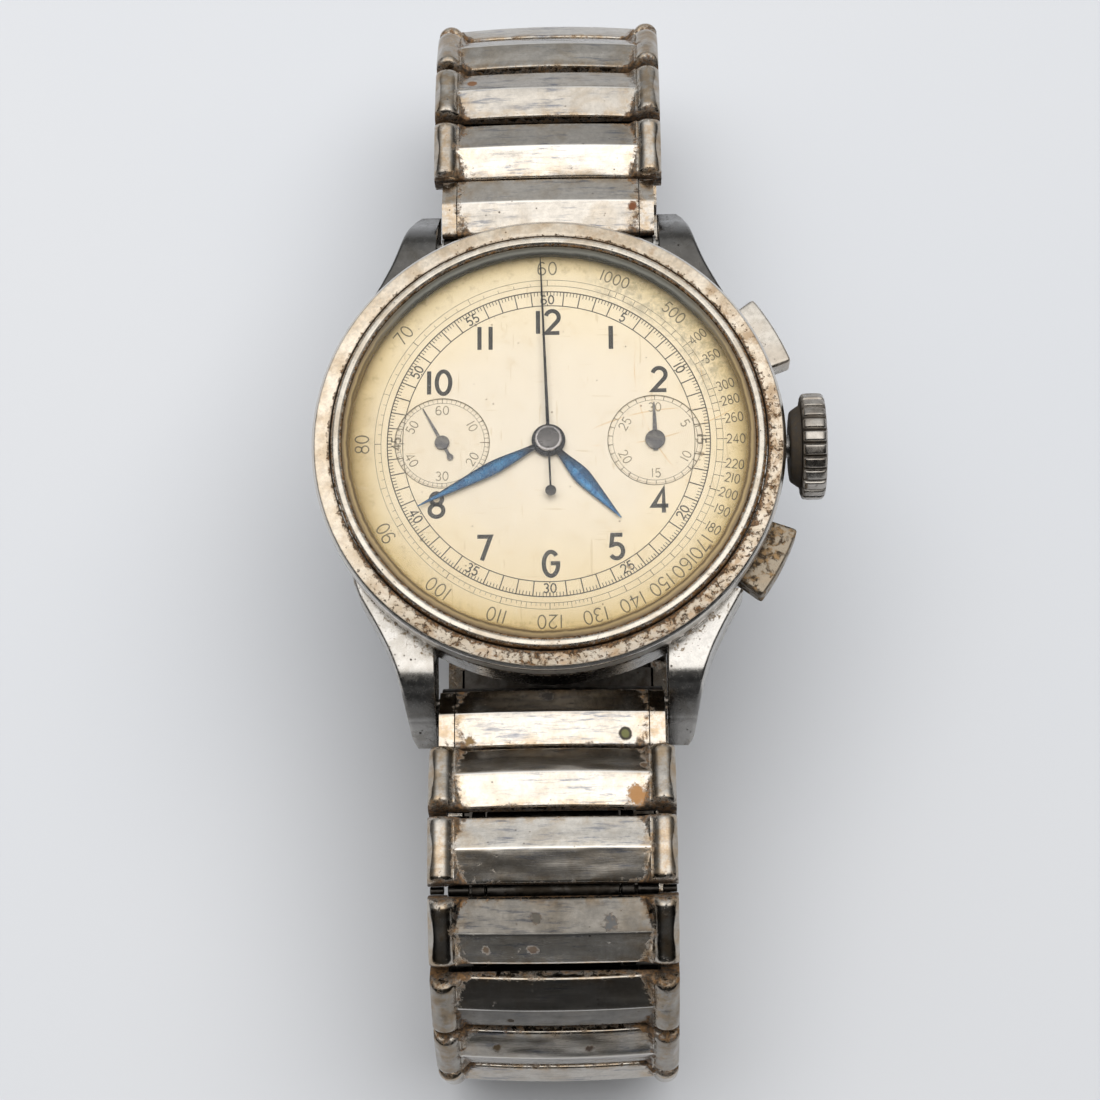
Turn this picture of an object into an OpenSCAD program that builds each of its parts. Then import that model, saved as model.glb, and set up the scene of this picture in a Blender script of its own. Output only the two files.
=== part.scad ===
// Wrist chronograph on an expansion bracelet, lying with its bracelet closed
// in a loop. Origin: centre of the case back's outer face. +Z runs up through
// the dial, +Y points to 12 o'clock and +X to 3 o'clock. Millimetres.

/* [Case] */
// Outer radius of the bezel
bezel_r = 18.5; // [18.4:0.05:18.6]
// Height of the dial's face above the case back
dial_z = 8.3; // [8.25:0.01:8.35]
// Radius of the glass
glass_r = 16.13; // [16.0:0.01:16.13]
// Rise of the glass dome above its edge
glass_rise = 2.3; // [1.8:0.1:2.8]
// Distance of the lug tips from the dial axis
lug_tip = 22.7; // [22.4:0.1:23.0]
// Gap between the lugs
lug_gap = 18; // [17.9:0.05:18.2]

/* [Crown and pushers] */
// Radius of the crown over its flutes
crown_r = 4.17; // [3.8:0.01:4.2]
// Number of flutes on the crown
crown_flutes = 24; // [20:1:28]
// Height of the winding stem's axis
stem_z = 6.1; // [6.05:0.01:6.15]
// Angle of each pusher from 3 o'clock
pusher_ang = 28.5; // [28:0.5:29]
// Travel of each pusher
pusher_travel = 0.9; // [0.7:0.1:0.9]

/* [Hands] */
// Length of the minute hand
minute_len = 11.5; // [11:0.1:12]
// Length of the hour hand
hour_len = 8.5; // [8:0.1:9]
// Length of the chronograph seconds hand
chrono_len = 15.3; // [14.8:0.1:15.4]
// Distance of each small dial from the centre
sub_x = 8.33; // [8.33:0.01:8.33]

/* [Bracelet] */
// Overall width of a link
link_w = 18.8; // [18.4:0.1:19.0]
// Width of the two end links that fit between the lugs
end_link_w = 17.4; // [17.2:0.1:17.6]
// Height of a link's roof ridge above its front and back edges
ridge_h = 0.84; // [0.7:0.02:0.9]
// Height of a link's edges above its hinge line
edge_h = 2.03; // [1.95:0.01:2.05]

/* [Hidden] */

$fn = 64;
steel = [0.74, 0.72, 0.69];
bright = [0.80, 0.78, 0.75];
brass = [0.80, 0.66, 0.36];
blued = [0.10, 0.20, 0.42];
nickel = [0.72, 0.70, 0.64];

// ---- bracelet loop ----
pitch = 5.24;
// Lug hinge: distance from the dial axis, and height
bar_y = 19.37;
bar_z = dial_z - 6.48;
// Slope of each link, in degrees, going out over the 6 o'clock side, round
// under the watch and back up to the 12 o'clock side. 0 is level and face up.
band_ang = [-17.3, -16.8, -0.8, 24.8, 52.8, 67.8, 92.3, 122.6, 156.2,
    180, 180, 180, 180, 180, 180, 180, 180, 180, 180, 180, 180, 180,
    193.9, 221.9, 259.1, 295.7, 324.8, 342.9, 357.4, 355.4];
// Where link i starts: y and z
function band_y(i) = i == 0 ? -bar_y : band_y(i - 1) - pitch * cos(band_ang[i - 1]);
function band_z(i) = i == 0 ? bar_z : band_z(i - 1) - pitch * sin(band_ang[i - 1]);

// ---- wheels ----
m_cw = 0.19;  // centre wheel to third pinion
m_tw = 0.14;  // third wheel to fourth pinion
m_fw = 0.11;  // fourth wheel to escape pinion
m_bw = 0.14;  // barrel to centre pinion
a_ct = m_cw * (60 + 8) / 2;
a_tf = m_tw * (64 + 8) / 2;
a_fe = m_fw * (80 + 8) / 2;
a_cb = m_bw * (80 + 10) / 2;
fourth = [-sub_x, 0];
third_x = -(sub_x * sub_x + a_ct * a_ct - a_tf * a_tf) / (2 * sub_x);
third = [third_x, sqrt(a_ct * a_ct - third_x * third_x)];
escape = fourth + a_fe * [cos(-75), sin(-75)];
barrel = a_cb * [cos(-55), sin(-55)];
balance = [-6.2, -9.3];
recorder = [sub_x, 0];
column = [5.6, 9.4];
lever_pivot = [13.0, 2.9];
hammer_pivot = [-1.5, -7.5];
screws = [[-4.5, 12.6], [6.6, 12.0], [12.9, -2.6], [-12.9, 3.6], [-1.2, -13.2], [1.5, 12.8]];
// Angle of the line from a to b
function dir(a, b) = atan2(b[1] - a[1], b[0] - a[0]);

// Outline of a wheel with n teeth of module m, one of them centred on angle a
function gear_pts(n, m, a) = [for (i = [0:n - 1]) each [
    for (k = [[-0.5, -1.2], [-0.26, -1.2], [-0.07, 0.8], [0.07, 0.8], [0.26, -1.2]])
        let (t = a + (i + k[0]) * 360 / n, r = m * (n / 2 + k[1]))
            [r * cos(t), r * sin(t)]]];
module gear(n, m, a, z, h) translate([0, 0, z]) linear_extrude(h) polygon(gear_pts(n, m, a));
// Spokes left between a hub and a rim
module spoke_holes(r1, r2, n, z, h, w = 12)
    for (i = [0:n - 1]) rotate(i * 360 / n)
        translate([0, 0, z - 0.1]) rotate_extrude(angle = 360 / n - w) translate([r1, 0]) square([r2 - r1, h + 0.2]);
module disc(r, z, h) translate([0, 0, z]) cylinder(r = r, h = h);
module ring(r1, r2, z, h) translate([0, 0, z]) difference() {
    cylinder(r = r2, h = h);
    translate([0, 0, -1]) cylinder(r = r1, h = h + 2);
}
module at(p) translate([p[0], p[1], 0]) children();
// A flat bar with round ends from a to b
module bar(a, b, w, z, h) {
    l = norm(b - a);
    translate([a[0], a[1], z]) rotate(dir(a, b)) {
        translate([0, -w / 2, 0]) cube([l, w, h]);
        cylinder(r = w / 2, h = h);
        translate([l, 0, 0]) cylinder(r = w / 2, h = h);
    }
}

// ---- case ----
module lug_block(sx, sy) {
    // side view crossed with the plan view
    mirror([sx < 0 ? 1 : 0, 0, 0]) mirror([0, sy < 0 ? 1 : 0, 0]) difference() {
        intersection() {
            translate([20, 0, 0]) rotate([90, 0, -90]) linear_extrude(20)
                polygon([[-12, 1.2], [-12, 6.4], [-16.2, 6.4], [-17.8, 6.1], [-19.4, 5.25],
                    [-21, 4.0], [-22.2, 2.7], [-lug_tip, 1.95], [-lug_tip + 0.35, 0.55], [-21.4, 0.2], [-19, 0.35], [-16.5, 1.2]]);
            linear_extrude(12) polygon([[lug_gap / 2, 12], [lug_gap / 2, 24], [lug_gap / 2 + 1.95, 24],
                [lug_gap / 2 + 2.05, 21.8], [lug_gap / 2 + 2.4, 20.2], [lug_gap / 2 + 2.85, 18.2],
                [lug_gap / 2 + 3.5, 16.4], [lug_gap / 2 + 4.5, 14.4], [lug_gap / 2 + 5.8, 12]]);
        }
        translate([0, 0, -1]) cylinder(r = 16.5, h = 12);
        translate([lug_gap / 2 - 1, bar_y, bar_z]) rotate([0, 90, 0]) cylinder(r = 0.45, h = 2);
    }
}
module mid_case() color(steel) difference() {
    union() {
        rotate_extrude($fn = 96) polygon([[15, 1.9], [15.95, 1.9], [15.95, 0.92], [16.9, 0.92], [17.6, 1.4],
            [18.1, 2.4], [18.1, 6.45], [bezel_r - 0.05, 6.5], [bezel_r - 0.05, 7.25], [17.6, 7.25],
            [17.6, 8.2], [16.35, 8.2], [16.35, dial_z - 0.45], [15, dial_z - 0.45]]);
        for (sx = [-1, 1], sy = [-1, 1]) lug_block(sx, sy);
    }
    translate([14, 0, stem_z]) rotate([0, 90, 0]) cylinder(r = 1.0, h = 6);
    for (s = [-1, 1]) {
        rotate(s * pusher_ang) translate([14, 0, 5.7]) rotate([0, 90, 0]) cylinder(r = 0.88, h = 5);
        rotate(s * pusher_ang - 9.4) translate([0, 0, 4.5]) rotate_extrude(angle = 18.8) translate([16.95, 0]) square([3, 2.4]);
    }
}
module bezel() color(steel) rotate_extrude($fn = 96)
    polygon([[17.65, 7.29], [bezel_r, 7.29], [bezel_r, 8.75], [bezel_r - 0.2, 8.95], [17.08, 9.08],
        [17.08, 8.25], [17.65, 8.25]]);
module crystal_ring() color(bright) rotate_extrude($fn = 96)
    polygon([[glass_r + 0.03, dial_z + 0.02], [17.04, dial_z + 0.02], [17.04, 9.25], [16.85, 9.42],
        [glass_r + 0.18, 9.42], [glass_r + 0.03, 9.32]]);
// Height of a dome of base radius r0 and rise h at radius r
function dome(r, r0, h) = let (R = (r0 * r0 + h * h) / (2 * h)) sqrt(R * R - r * r) - R + h;
module crystal() color([0.93, 0.93, 0.88, 0.35]) rotate_extrude($fn = 96)
    polygon(concat([[glass_r, dial_z + 0.04]],
        [for (i = [10:-1:0]) [glass_r * i / 10, 9.2 + dome(glass_r * i / 10, glass_r, glass_rise)]],
        [for (i = [0:10]) [15.85 * i / 10, 9.0 + dome(15.85 * i / 10, 15.85, glass_rise - 0.4)]],
        [[15.85, dial_z + 0.04]]));
module case_back() color(steel) rotate_extrude($fn = 96)
    polygon([[0, 0], [15.4, 0], [16.4, 0.3], [16.85, 0.88], [15.9, 0.88], [15.9, 1.85], [15.2, 1.85],
        [15.2, 0.8], [0, 0.8]]);

// ---- crown, stem and pushers ----
module crown() color(steel) difference() {
    union() {
        translate([19.7, 0, stem_z]) rotate([0, 90, 0]) linear_extrude(1.75)
            polygon([for (i = [0:crown_flutes - 1]) each [
                for (k = [[-0.5, -0.34], [-0.36, -0.3], [-0.2, 0], [0.2, 0], [0.36, -0.3]])
                    let (t = (i + k[0]) * 360 / crown_flutes, r = crown_r + k[1]) [r * cos(t), r * sin(t)]]]);
        translate([18.85, 0, stem_z]) rotate([0, 90, 0]) cylinder(r1 = 2.7, r2 = 3.4, h = 0.9);
        translate([21.4, 0, stem_z]) rotate([0, 90, 0]) cylinder(r1 = 3.75, r2 = 2.9, h = 0.45);
    }
    translate([18, 0, stem_z]) rotate([0, 90, 0]) cylinder(r = 0.95, h = 2.9);
}
module winding_stem() color(nickel) {
    translate([15.2, 0, stem_z]) rotate([0, 90, 0]) cylinder(r = 0.9, h = 5.5);
    translate([11, 0, stem_z]) rotate([0, 90, 0]) cylinder(r = 0.4, h = 4.3);
}
module pusher(s) color(steel) {
    rotate(s * pusher_ang - 8.5) translate([0, 0, 4.6]) rotate_extrude(angle = 17)
        translate([18, 0]) square([2.5, 2.2]);
    rotate(s * pusher_ang) translate([0, 0, 5.7]) rotate([0, 90, 0]) {
        translate([0, 0, 15.85]) cylinder(r = 0.8, h = 2.5);
        translate([0, 0, 14.45]) cylinder(r = 0.22, h = 1.6);
    }
}
module start_stop_pusher() pusher(1);
module reset_pusher() pusher(-1);
module spring_bars() color(nickel) for (s = [-1, 1]) translate([0, s * bar_y, bar_z]) rotate([0, 90, 0]) {
    cylinder(r = 0.75, h = lug_gap - 0.4, center = true);
    cylinder(r = 0.4, h = lug_gap + 1.6, center = true);
}

// ---- dial and hands ----
module dial() color([0.90, 0.84, 0.68]) difference() {
    disc(16.3, dial_z - 0.44, 0.44);
    disc(1.03, 7, 3);
    for (s = [-1, 1]) translate([s * sub_x, 0, 0]) disc(0.28, 7, 3);
    for (s = [-1, 1]) translate([s * sub_x, 0, 0]) ring(3.55, 3.75, dial_z - 0.06, 1);
}
// A leaf blade of length l and half width w
module leaf(l, w, z, h) translate([0, 0, z]) linear_extrude(h)
    polygon([[0.5, -0.28], [l * 0.22, -w * 0.62], [l * 0.5, -w], [l * 0.75, -w * 0.68], [l, -0.05],
        [l, 0.05], [l * 0.75, w * 0.68], [l * 0.5, w], [l * 0.22, w * 0.62], [0.5, 0.28]]);
// The hands stand at twenty to five
module hour_hand() color(blued) rotate(-49) difference() {
    union() { leaf(hour_len, 0.62, 8.58, 0.1); disc(1.3, 8.58, 0.1); }
    disc(0.95, 8, 2);
}
module minute_hand() color(blued) rotate(207.5) difference() {
    union() { leaf(minute_len, 0.55, 8.78, 0.1); disc(1.15, 8.78, 0.1); disc(0.55, 7.3, 1.58); }
    disc(0.4, 7, 3);
}
module chronograph_hand() color(blued) rotate(92) difference() {
    union() {
        translate([-4.2, -0.07, 8.98]) cube([4.2, 0.14, 0.08]);
        translate([0, 0, 8.98]) linear_extrude(0.08) polygon([[0, -0.12], [chrono_len, -0.04], [chrono_len, 0.04], [0, 0.12]]);
        translate([-4.2, 0, 8.98]) cylinder(r = 0.4, h = 0.08);
        disc(1.0, 8.96, 0.14);
        disc(0.55, 9.0, 0.24);
    }
    disc(0.2, 8, 1.1);
}
module sub_hand(x, a, l) color(blued) translate([x, 0, 0]) rotate(a) difference() {
    union() {
        translate([0, 0, 8.4]) linear_extrude(0.07) polygon([[-1.3, -0.16], [0, -0.22], [l, -0.04], [l, 0.04], [0, 0.22], [-1.3, 0.16]]);
        disc(0.5, 8.38, 0.12);
    }
    disc(0.15, 8, 1);
}
module running_seconds_hand() sub_hand(-sub_x, 118, 3.2);
module minute_counter_hand() sub_hand(sub_x, 91, 3.1);

// ---- movement ----
module main_plate() color(nickel) difference() {
    disc(14.9, 5.95, 1.9);
    disc(0.46, 5, 4);
    disc(3.5, 7.2, 1);
    at(fourth) disc(0.25, 5, 4);
    at(recorder) disc(0.25, 5, 4);
    at(third) disc(0.2, 5.8, 1);
    at(escape) disc(0.2, 5.8, 1);
    at(balance) disc(0.2, 5.8, 1);
    at(barrel) disc(0.6, 5.8, 1);
    translate([9.5, 0, stem_z]) rotate([0, 90, 0]) cylinder(r = 1.05, h = 6);
}
module bridge_hole(p, r = 0.2) at(p) disc(r, 3, 2);
module train_bridge() color(nickel) {
    difference() {
        disc(14.4, 3.5, 0.8);
        at(balance) disc(5.0, 3, 2);
        bar(balance, screws[4], 2.9, 3, 2);
        disc(0.46, 3, 2);
        bridge_hole(third);
        bridge_hole(fourth);
        bridge_hole(escape);
        bridge_hole(recorder, 0.25);
        bridge_hole(barrel, 0.6);
        rotate(pusher_ang) translate([12.2, -1.6, 3]) cube([3, 3.2, 2]);
        // room for the hammer's tab, which swings sideways as it is pushed in
        rotate(-pusher_ang) translate([12.0, -1.6, 3]) cube([3.2, 4.1, 2]);
    }
    for (p = [screws[0], screws[1], screws[2], screws[3]]) at(p) disc(1.0, 4.2, 1.74);
}
module balance_cock() color(nickel) difference() {
    union() {
        bar(balance, screws[4], 1.9, 3.5, 0.8);
        at(balance) disc(1.6, 3.5, 0.8);
        at(screws[4]) disc(1.15, 3.5, 2.44);
    }
    at(balance) disc(0.2, 3, 2);
}
module chronograph_bridge() color(nickel) difference() {
    union() {
        bar([0, 0], screws[5], 1.6, 2.0, 0.4);
        at(screws[5]) disc(1.0, 2.0, 1.48);
    }
    disc(0.26, 1, 3);
}
module bridge_screws() color(blued) {
    for (i = [0:4]) at(screws[i]) difference() {
        disc(0.75, 3.1, 0.38);
        translate([-1, -0.1, 3.0]) cube([2, 0.2, 0.25]);
    }
    at(screws[5]) difference() {
        disc(0.75, 1.58, 0.4);
        translate([-1, -0.1, 1.5]) cube([2, 0.2, 0.25]);
    }
}
module mainspring_barrel() color(brass) at(barrel) {
    gear(80, m_bw, dir(barrel, [0, 0]), 5.05, 0.28);
    ring(4.6, 4.95, 4.95, 0.88);
    disc(4.9, 5.7, 0.13);
    disc(0.5, 4.4, 2.1);
}
module ratchet_wheel() color(nickel) at(barrel) {
    difference() { gear(42, 0.12, 0, 2.6, 0.26); translate([0, 0, 2.5]) cylinder(r = 0.35, h = 0.2); }
    disc(0.5, 2.8, 1.3);
}
module centre_wheel() color(brass) difference() {
    union() {
        difference() {
            gear(60, m_cw, dir([0, 0], third), 4.5, 0.25);
            spoke_holes(1.4, 4.9, 4, 4.5, 0.25, 14);
        }
        disc(0.6, 4.4, 0.4);
        gear(10, m_bw, dir([0, 0], barrel) + 18, 4.7, 0.75);
        disc(0.36, 3.8, 4.7);
    }
    disc(0.27, 3, 7);
}
module third_wheel() color(brass) at(third) {
    difference() {
        gear(64, m_tw, dir(third, fourth), 5.45, 0.22);
        spoke_holes(1.2, 3.8, 4, 5.45, 0.22, 16);
    }
    gear(8, m_cw, dir(third, [0, 0]) + 22.5, 4.42, 0.45);
    disc(0.25, 4.42, 1.4);
    disc(0.12, 3.7, 2.7);
}
module fourth_wheel() color(brass) at(fourth) {
    difference() {
        gear(80, m_fw, dir(fourth, escape), 5.0, 0.22);
        spoke_holes(1.0, 3.7, 4, 5.0, 0.22, 16);
    }
    gear(8, m_tw, dir(fourth, third) + 22.5, 5.35, 0.45);
    disc(0.22, 4.42, 1.4);
    disc(0.14, 3.7, 4.78);
}
module escape_wheel() color(brass) at(escape) {
    translate([0, 0, 4.5]) linear_extrude(0.2) polygon([for (i = [0:14]) each
        [[1.3 * cos(i * 24), 1.3 * sin(i * 24)], [1.75 * cos(i * 24 + 9), 1.75 * sin(i * 24 + 9)],
         [1.72 * cos(i * 24 + 12), 1.72 * sin(i * 24 + 12)], [1.3 * cos(i * 24 + 14), 1.3 * sin(i * 24 + 14)]]]);
    gear(8, m_fw, dir(escape, fourth) + 22.5, 4.75, 0.6);
    disc(0.12, 3.7, 2.7);
}
fork_a = dir(escape, balance);
fork = escape + 2.45 * [cos(fork_a), sin(fork_a)];
module pallet_fork() color(nickel) at(fork) {
    rotate(fork_a) {
        translate([0, -0.14, 4.5]) cube([1.35, 0.28, 0.2]);
        for (s = [-1, 1]) {
            translate([1.3, s * 0.3 - 0.09, 4.5]) cube([0.45, 0.18, 0.2]);
            translate([0, 0, 4.5]) linear_extrude(0.2) polygon([[0.1, 0], [-0.05, s * 1.75], [-0.55, s * 1.75], [-0.3, s * 1.2], [-0.35, 0]]);
        }
        translate([1.2, -0.38, 4.5]) cube([0.2, 0.76, 0.2]);
    }
    disc(0.25, 4.42, 0.4);
    disc(0.1, 4.38, 1.54);
}
module balance_wheel() color(brass) at(balance) {
    ring(2.95, 3.4, 4.95, 0.35);
    translate([-3.1, -0.3, 5.0]) cube([6.2, 0.6, 0.25]);
    disc(0.45, 4.45, 0.3);
    disc(0.22, 4.45, 1.4);
    disc(0.12, 3.7, 2.7);
}
module hairspring() color(blued) at(balance) {
    translate([0, 0, 5.5]) linear_extrude(0.14) polygon(concat(
        [for (i = [0:84]) let (t = i * 15, r = 0.36 + 1.5 * i / 84) [r * cos(t), r * sin(t)]],
        [for (i = [84:-1:0]) let (t = i * 15, r = 0.42 + 1.5 * i / 84) [r * cos(t), r * sin(t)]]));
    ring(0.24, 0.4, 5.45, 0.25);
}
module hour_wheel() color(brass) difference() {
    union() { gear(32, 0.18, 0, 7.25, 0.3); disc(0.95, 7.25, 1.45); }
    disc(0.62, 7, 3);
}
// Heart cam
module heart(r, z, h, a) translate([0, 0, z]) linear_extrude(h)
    polygon([for (i = [0:35]) let (t = i * 10, d = abs(180 - t) / 180, q = r * (0.42 + 0.58 * d)) [q * cos(t + a), q * sin(t + a)]]);
module chronograph_runner() color(brass) difference() {
    union() {
        difference() {
            gear(72, 0.12, 0, 3.1, 0.15);
            spoke_holes(1.3, 3.7, 5, 3.1, 0.15, 14);
        }
        heart(1.2, 2.55, 0.35, 180);
        disc(0.35, 2.5, 0.8);
        disc(0.2, 2.0, 7.05);
    }
}
module minute_recorder() color(brass) at(recorder) {
    gear(30, 0.2, 0, 3.1, 0.15);
    heart(1.1, 2.55, 0.35, 180);
    disc(0.3, 2.5, 0.75);
    disc(0.14, 2.1, 6.38);
}
module column_wheel() color(nickel) at(column) {
    for (i = [0:5]) rotate(i * 60) translate([0, 0, 2.35]) rotate_extrude(angle = 32) translate([0.95, 0]) square([0.5, 0.8]);
    translate([0, 0, 3.1]) linear_extrude(0.25) polygon([for (i = [0:11]) each
        [[1.5 * cos(i * 30), 1.5 * sin(i * 30)], [1.9 * cos(i * 30 + 24), 1.9 * sin(i * 30 + 24)]]]);
    disc(0.3, 2.2, 1.25);
}
lever_tab = 14.0 * [cos(pusher_ang), sin(pusher_ang)];
module operating_lever() color(nickel) {
    difference() {
        union() {
            bar(lever_pivot, lever_tab, 1.3, 2.1, 0.35);
            bar(lever_tab, [9.9, 8.9], 0.9, 2.1, 0.35);
        }
        at(lever_pivot) disc(0.35, 1, 3);
    }
    rotate(pusher_ang) translate([13.5, -0.8, 2.1]) cube([0.9, 1.6, 3.75]);
    at([9.6, 8.95]) disc(0.25, 2.1, 1.2);
}
hammer_tab = 14.0 * [cos(-pusher_ang), sin(-pusher_ang)];
module reset_hammer() color(nickel) {
    difference() {
        union() {
            bar(hammer_pivot, hammer_tab, 1.1, 2.05, 0.35);
            bar(hammer_pivot, [1.3, -2.4], 0.9, 2.05, 0.35);
            bar(hammer_pivot, [7.6, -2.9], 0.8, 2.05, 0.35);
        }
        at(hammer_pivot) disc(0.35, 1, 3);
    }
    rotate(-pusher_ang) translate([13.5, -0.8, 2.05]) cube([0.9, 1.6, 3.8]);
    translate([0.7, -2.65, 2.05]) cube([1.2, 0.5, 0.85]);
    translate([7.0, -3.15, 2.05]) cube([1.2, 0.5, 0.85]);
}

// ---- bracelet ----
// Roof of a link: two facets that meet in a narrow ridge
module roof(w) translate([-w / 2, 0, 0]) rotate([90, 0, 90]) linear_extrude(w)
    polygon([[0.095, 1.3], [0.095, edge_h], [pitch / 2 - 0.15, edge_h + ridge_h], [pitch / 2 + 0.15, edge_h + ridge_h],
        [pitch - 0.095, edge_h], [pitch - 0.095, 1.3]]);
module side_plate(x0, x1, top) translate([x0, 0, 0]) rotate([90, 0, 90]) linear_extrude(x1 - x0)
    polygon([[0.5, -0.4], [0.12, 0.8], [0.095, edge_h], [0.8, top], [pitch - 0.8, top], [pitch - 0.095, edge_h],
        [pitch - 0.12, 0.8], [pitch - 0.5, -0.4]]);
module tongue(bore, y = 0, s = 1, half = 5) difference() {
    union() {
        translate([0, y, 0]) rotate([0, 90, 0]) cylinder(r = 0.75, h = 2 * half, center = true);
        translate([-half, s > 0 ? y : y - 1.2, -0.4]) cube([2 * half, 1.2, 0.5]);
    }
    translate([0, y, 0]) rotate([0, 90, 0]) cylinder(r = bore, h = 2 * half + 1, center = true);
}
module bar_tube(y, s) difference() {
    union() {
        translate([0, y, 0]) rotate([0, 90, 0]) cylinder(r = 1.2, h = end_link_w - 0.2, center = true);
        translate([-end_link_w / 2 + 0.1, s > 0 ? y + 0.5 : y - 1.5, -0.4]) cube([end_link_w - 0.2, 1.0, 1.5]);
    }
    translate([0, y, 0]) rotate([0, 90, 0]) cylinder(r = 0.83, h = link_w, center = true);
}
module pin_end() {
    translate([0, pitch, 0]) rotate([0, 90, 0]) cylinder(r = 0.37, h = 11.6, center = true);
    for (s = [-1, 1]) translate([s * 5.65, 0, 0]) {
        translate([0, pitch, 0]) rotate([0, 90, 0]) cylinder(r = 0.68, h = 1, center = true);
        translate([-0.5, 4.0, -0.4]) cube([1, pitch - 4.0, 0.5]);
    }
}
module floor_plate(w) translate([-w / 2, 1.0, -0.4]) cube([w, 3.2, 0.35]);
// A plain link; its hinge line runs through y = 0 and y = pitch
module link_body(bore = 0.43) {
    roof(link_w - 3);
    for (s = [-1, 1]) mirror([s < 0 ? 1 : 0, 0, 0]) {
        side_plate(link_w / 2 - 0.6, link_w / 2, edge_h + ridge_h - 0.05);
        translate([link_w / 2 - 1.7, 0, 0]) rotate([90, 0, 90]) linear_extrude(1.3)
            polygon([[0.095, 1.3], [0.095, edge_h], [0.8, edge_h + ridge_h - 0.05], [pitch - 0.8, edge_h + ridge_h - 0.05],
                [pitch - 0.095, edge_h], [pitch - 0.095, 1.3]]);
    }
    floor_plate(link_w - 0.8);
    tongue(bore);
    pin_end();
}
module end_body(first) {
    roof(end_link_w);
    for (s = [-1, 1]) mirror([s < 0 ? 1 : 0, 0, 0]) translate([end_link_w / 2 - 0.6, 0, 0])
        rotate([90, 0, 90]) linear_extrude(0.5)
            polygon([[1.45, -0.4], [1.45, 1.4], [pitch - 1.45, 1.4], [pitch - 1.45, -0.4]]);
    floor_plate(end_link_w - 0.4);
    if (first) { bar_tube(0, 1); pin_end(); }
    else { tongue(0.43); bar_tube(pitch, -1); }
}
module place(i) translate([0, band_y(i - 1), band_z(i - 1)]) rotate([band_ang[i - 1], 0, 0]) rotate(180) children();
module links(list, c = bright) color(c) for (i = list) place(i) link_body(i == 17 ? 0.52 : 0.43);

mid_case();
bezel();
crystal_ring();
crystal();
case_back();
crown();
winding_stem();
start_stop_pusher();
reset_pusher();
spring_bars();
dial();
hour_hand();
minute_hand();
chronograph_hand();
running_seconds_hand();
minute_counter_hand();
main_plate();
train_bridge();
balance_cock();
chronograph_bridge();
bridge_screws();
mainspring_barrel();
ratchet_wheel();
centre_wheel();
third_wheel();
fourth_wheel();
escape_wheel();
pallet_fork();
balance_wheel();
hairspring();
hour_wheel();
chronograph_runner();
minute_recorder();
column_wheel();
operating_lever();
reset_hammer();
color(bright) place(1) end_body(true);  // end_link_6
links([2]);  // link_02
links([3]);  // link_03
links([4]);  // link_04
links([5]);  // link_05
links([6]);  // link_06
links([7]);  // link_07
links([8]);  // link_08
links([9]);  // link_09
links([10]);  // link_10
links([11, 12]);  // links_11_12
links([13, 14]);  // links_13_14
links([15, 16]);  // links_15_16
links([17, 18]);  // links_17_18
links([19, 20]);  // links_19_20
links([21, 22]);  // links_21_22
links([23]);  // link_23
links([24]);  // link_24
links([25]);  // link_25
links([26]);  // link_26
links([27]);  // link_27
links([28]);  // link_28
links([29]);  // link_29
color(bright) place(30) end_body(false);  // end_link_12
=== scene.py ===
import math
import random
import bpy
import bmesh
from mathutils import Matrix, Vector

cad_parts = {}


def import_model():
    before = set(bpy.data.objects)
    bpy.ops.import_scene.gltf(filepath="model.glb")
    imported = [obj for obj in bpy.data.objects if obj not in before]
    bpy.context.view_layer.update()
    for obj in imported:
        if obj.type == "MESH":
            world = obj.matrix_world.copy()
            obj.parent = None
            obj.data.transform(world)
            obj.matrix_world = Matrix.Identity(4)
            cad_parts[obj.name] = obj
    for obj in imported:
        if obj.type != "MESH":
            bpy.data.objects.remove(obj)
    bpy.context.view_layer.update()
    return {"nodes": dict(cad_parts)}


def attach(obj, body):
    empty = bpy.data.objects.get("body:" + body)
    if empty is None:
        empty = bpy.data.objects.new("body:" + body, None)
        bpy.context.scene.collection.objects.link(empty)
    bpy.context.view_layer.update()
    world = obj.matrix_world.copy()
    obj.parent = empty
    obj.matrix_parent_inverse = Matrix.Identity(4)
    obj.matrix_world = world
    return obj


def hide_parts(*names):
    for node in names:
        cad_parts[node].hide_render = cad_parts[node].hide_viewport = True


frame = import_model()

random.seed(11)
S = 0.001
PI = math.pi


# ------------------------------------------------------------------ meshes
def rad(d):
    return d * PI / 180


def add_mesh(name, verts, faces, attrs=None, angle=38, merge=False):
    me = bpy.data.meshes.new(name)
    me.from_pydata([(v[0] * S, v[1] * S, v[2] * S) for v in verts], [], faces)
    for key, data in (attrs or {}).items():
        if isinstance(data[0], (tuple, list)):
            a = me.attributes.new(key, "FLOAT_VECTOR", "POINT")
            a.data.foreach_set("vector", [c for v in data for c in v])
        else:
            a = me.attributes.new(key, "FLOAT", "POINT")
            a.data.foreach_set("value", data)
    bm = bmesh.new()
    bm.from_mesh(me)
    if merge:
        bmesh.ops.remove_doubles(bm, verts=bm.verts, dist=2e-7)
    bmesh.ops.recalc_face_normals(bm, faces=bm.faces)
    bm.to_mesh(me)
    bm.free()
    me.polygons.foreach_set("use_smooth", [True] * len(me.polygons))
    me.set_sharp_from_angle(angle=rad(angle))
    me.update()
    ob = bpy.data.objects.new(name, me)
    bpy.context.scene.collection.objects.link(ob)
    return ob


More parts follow.
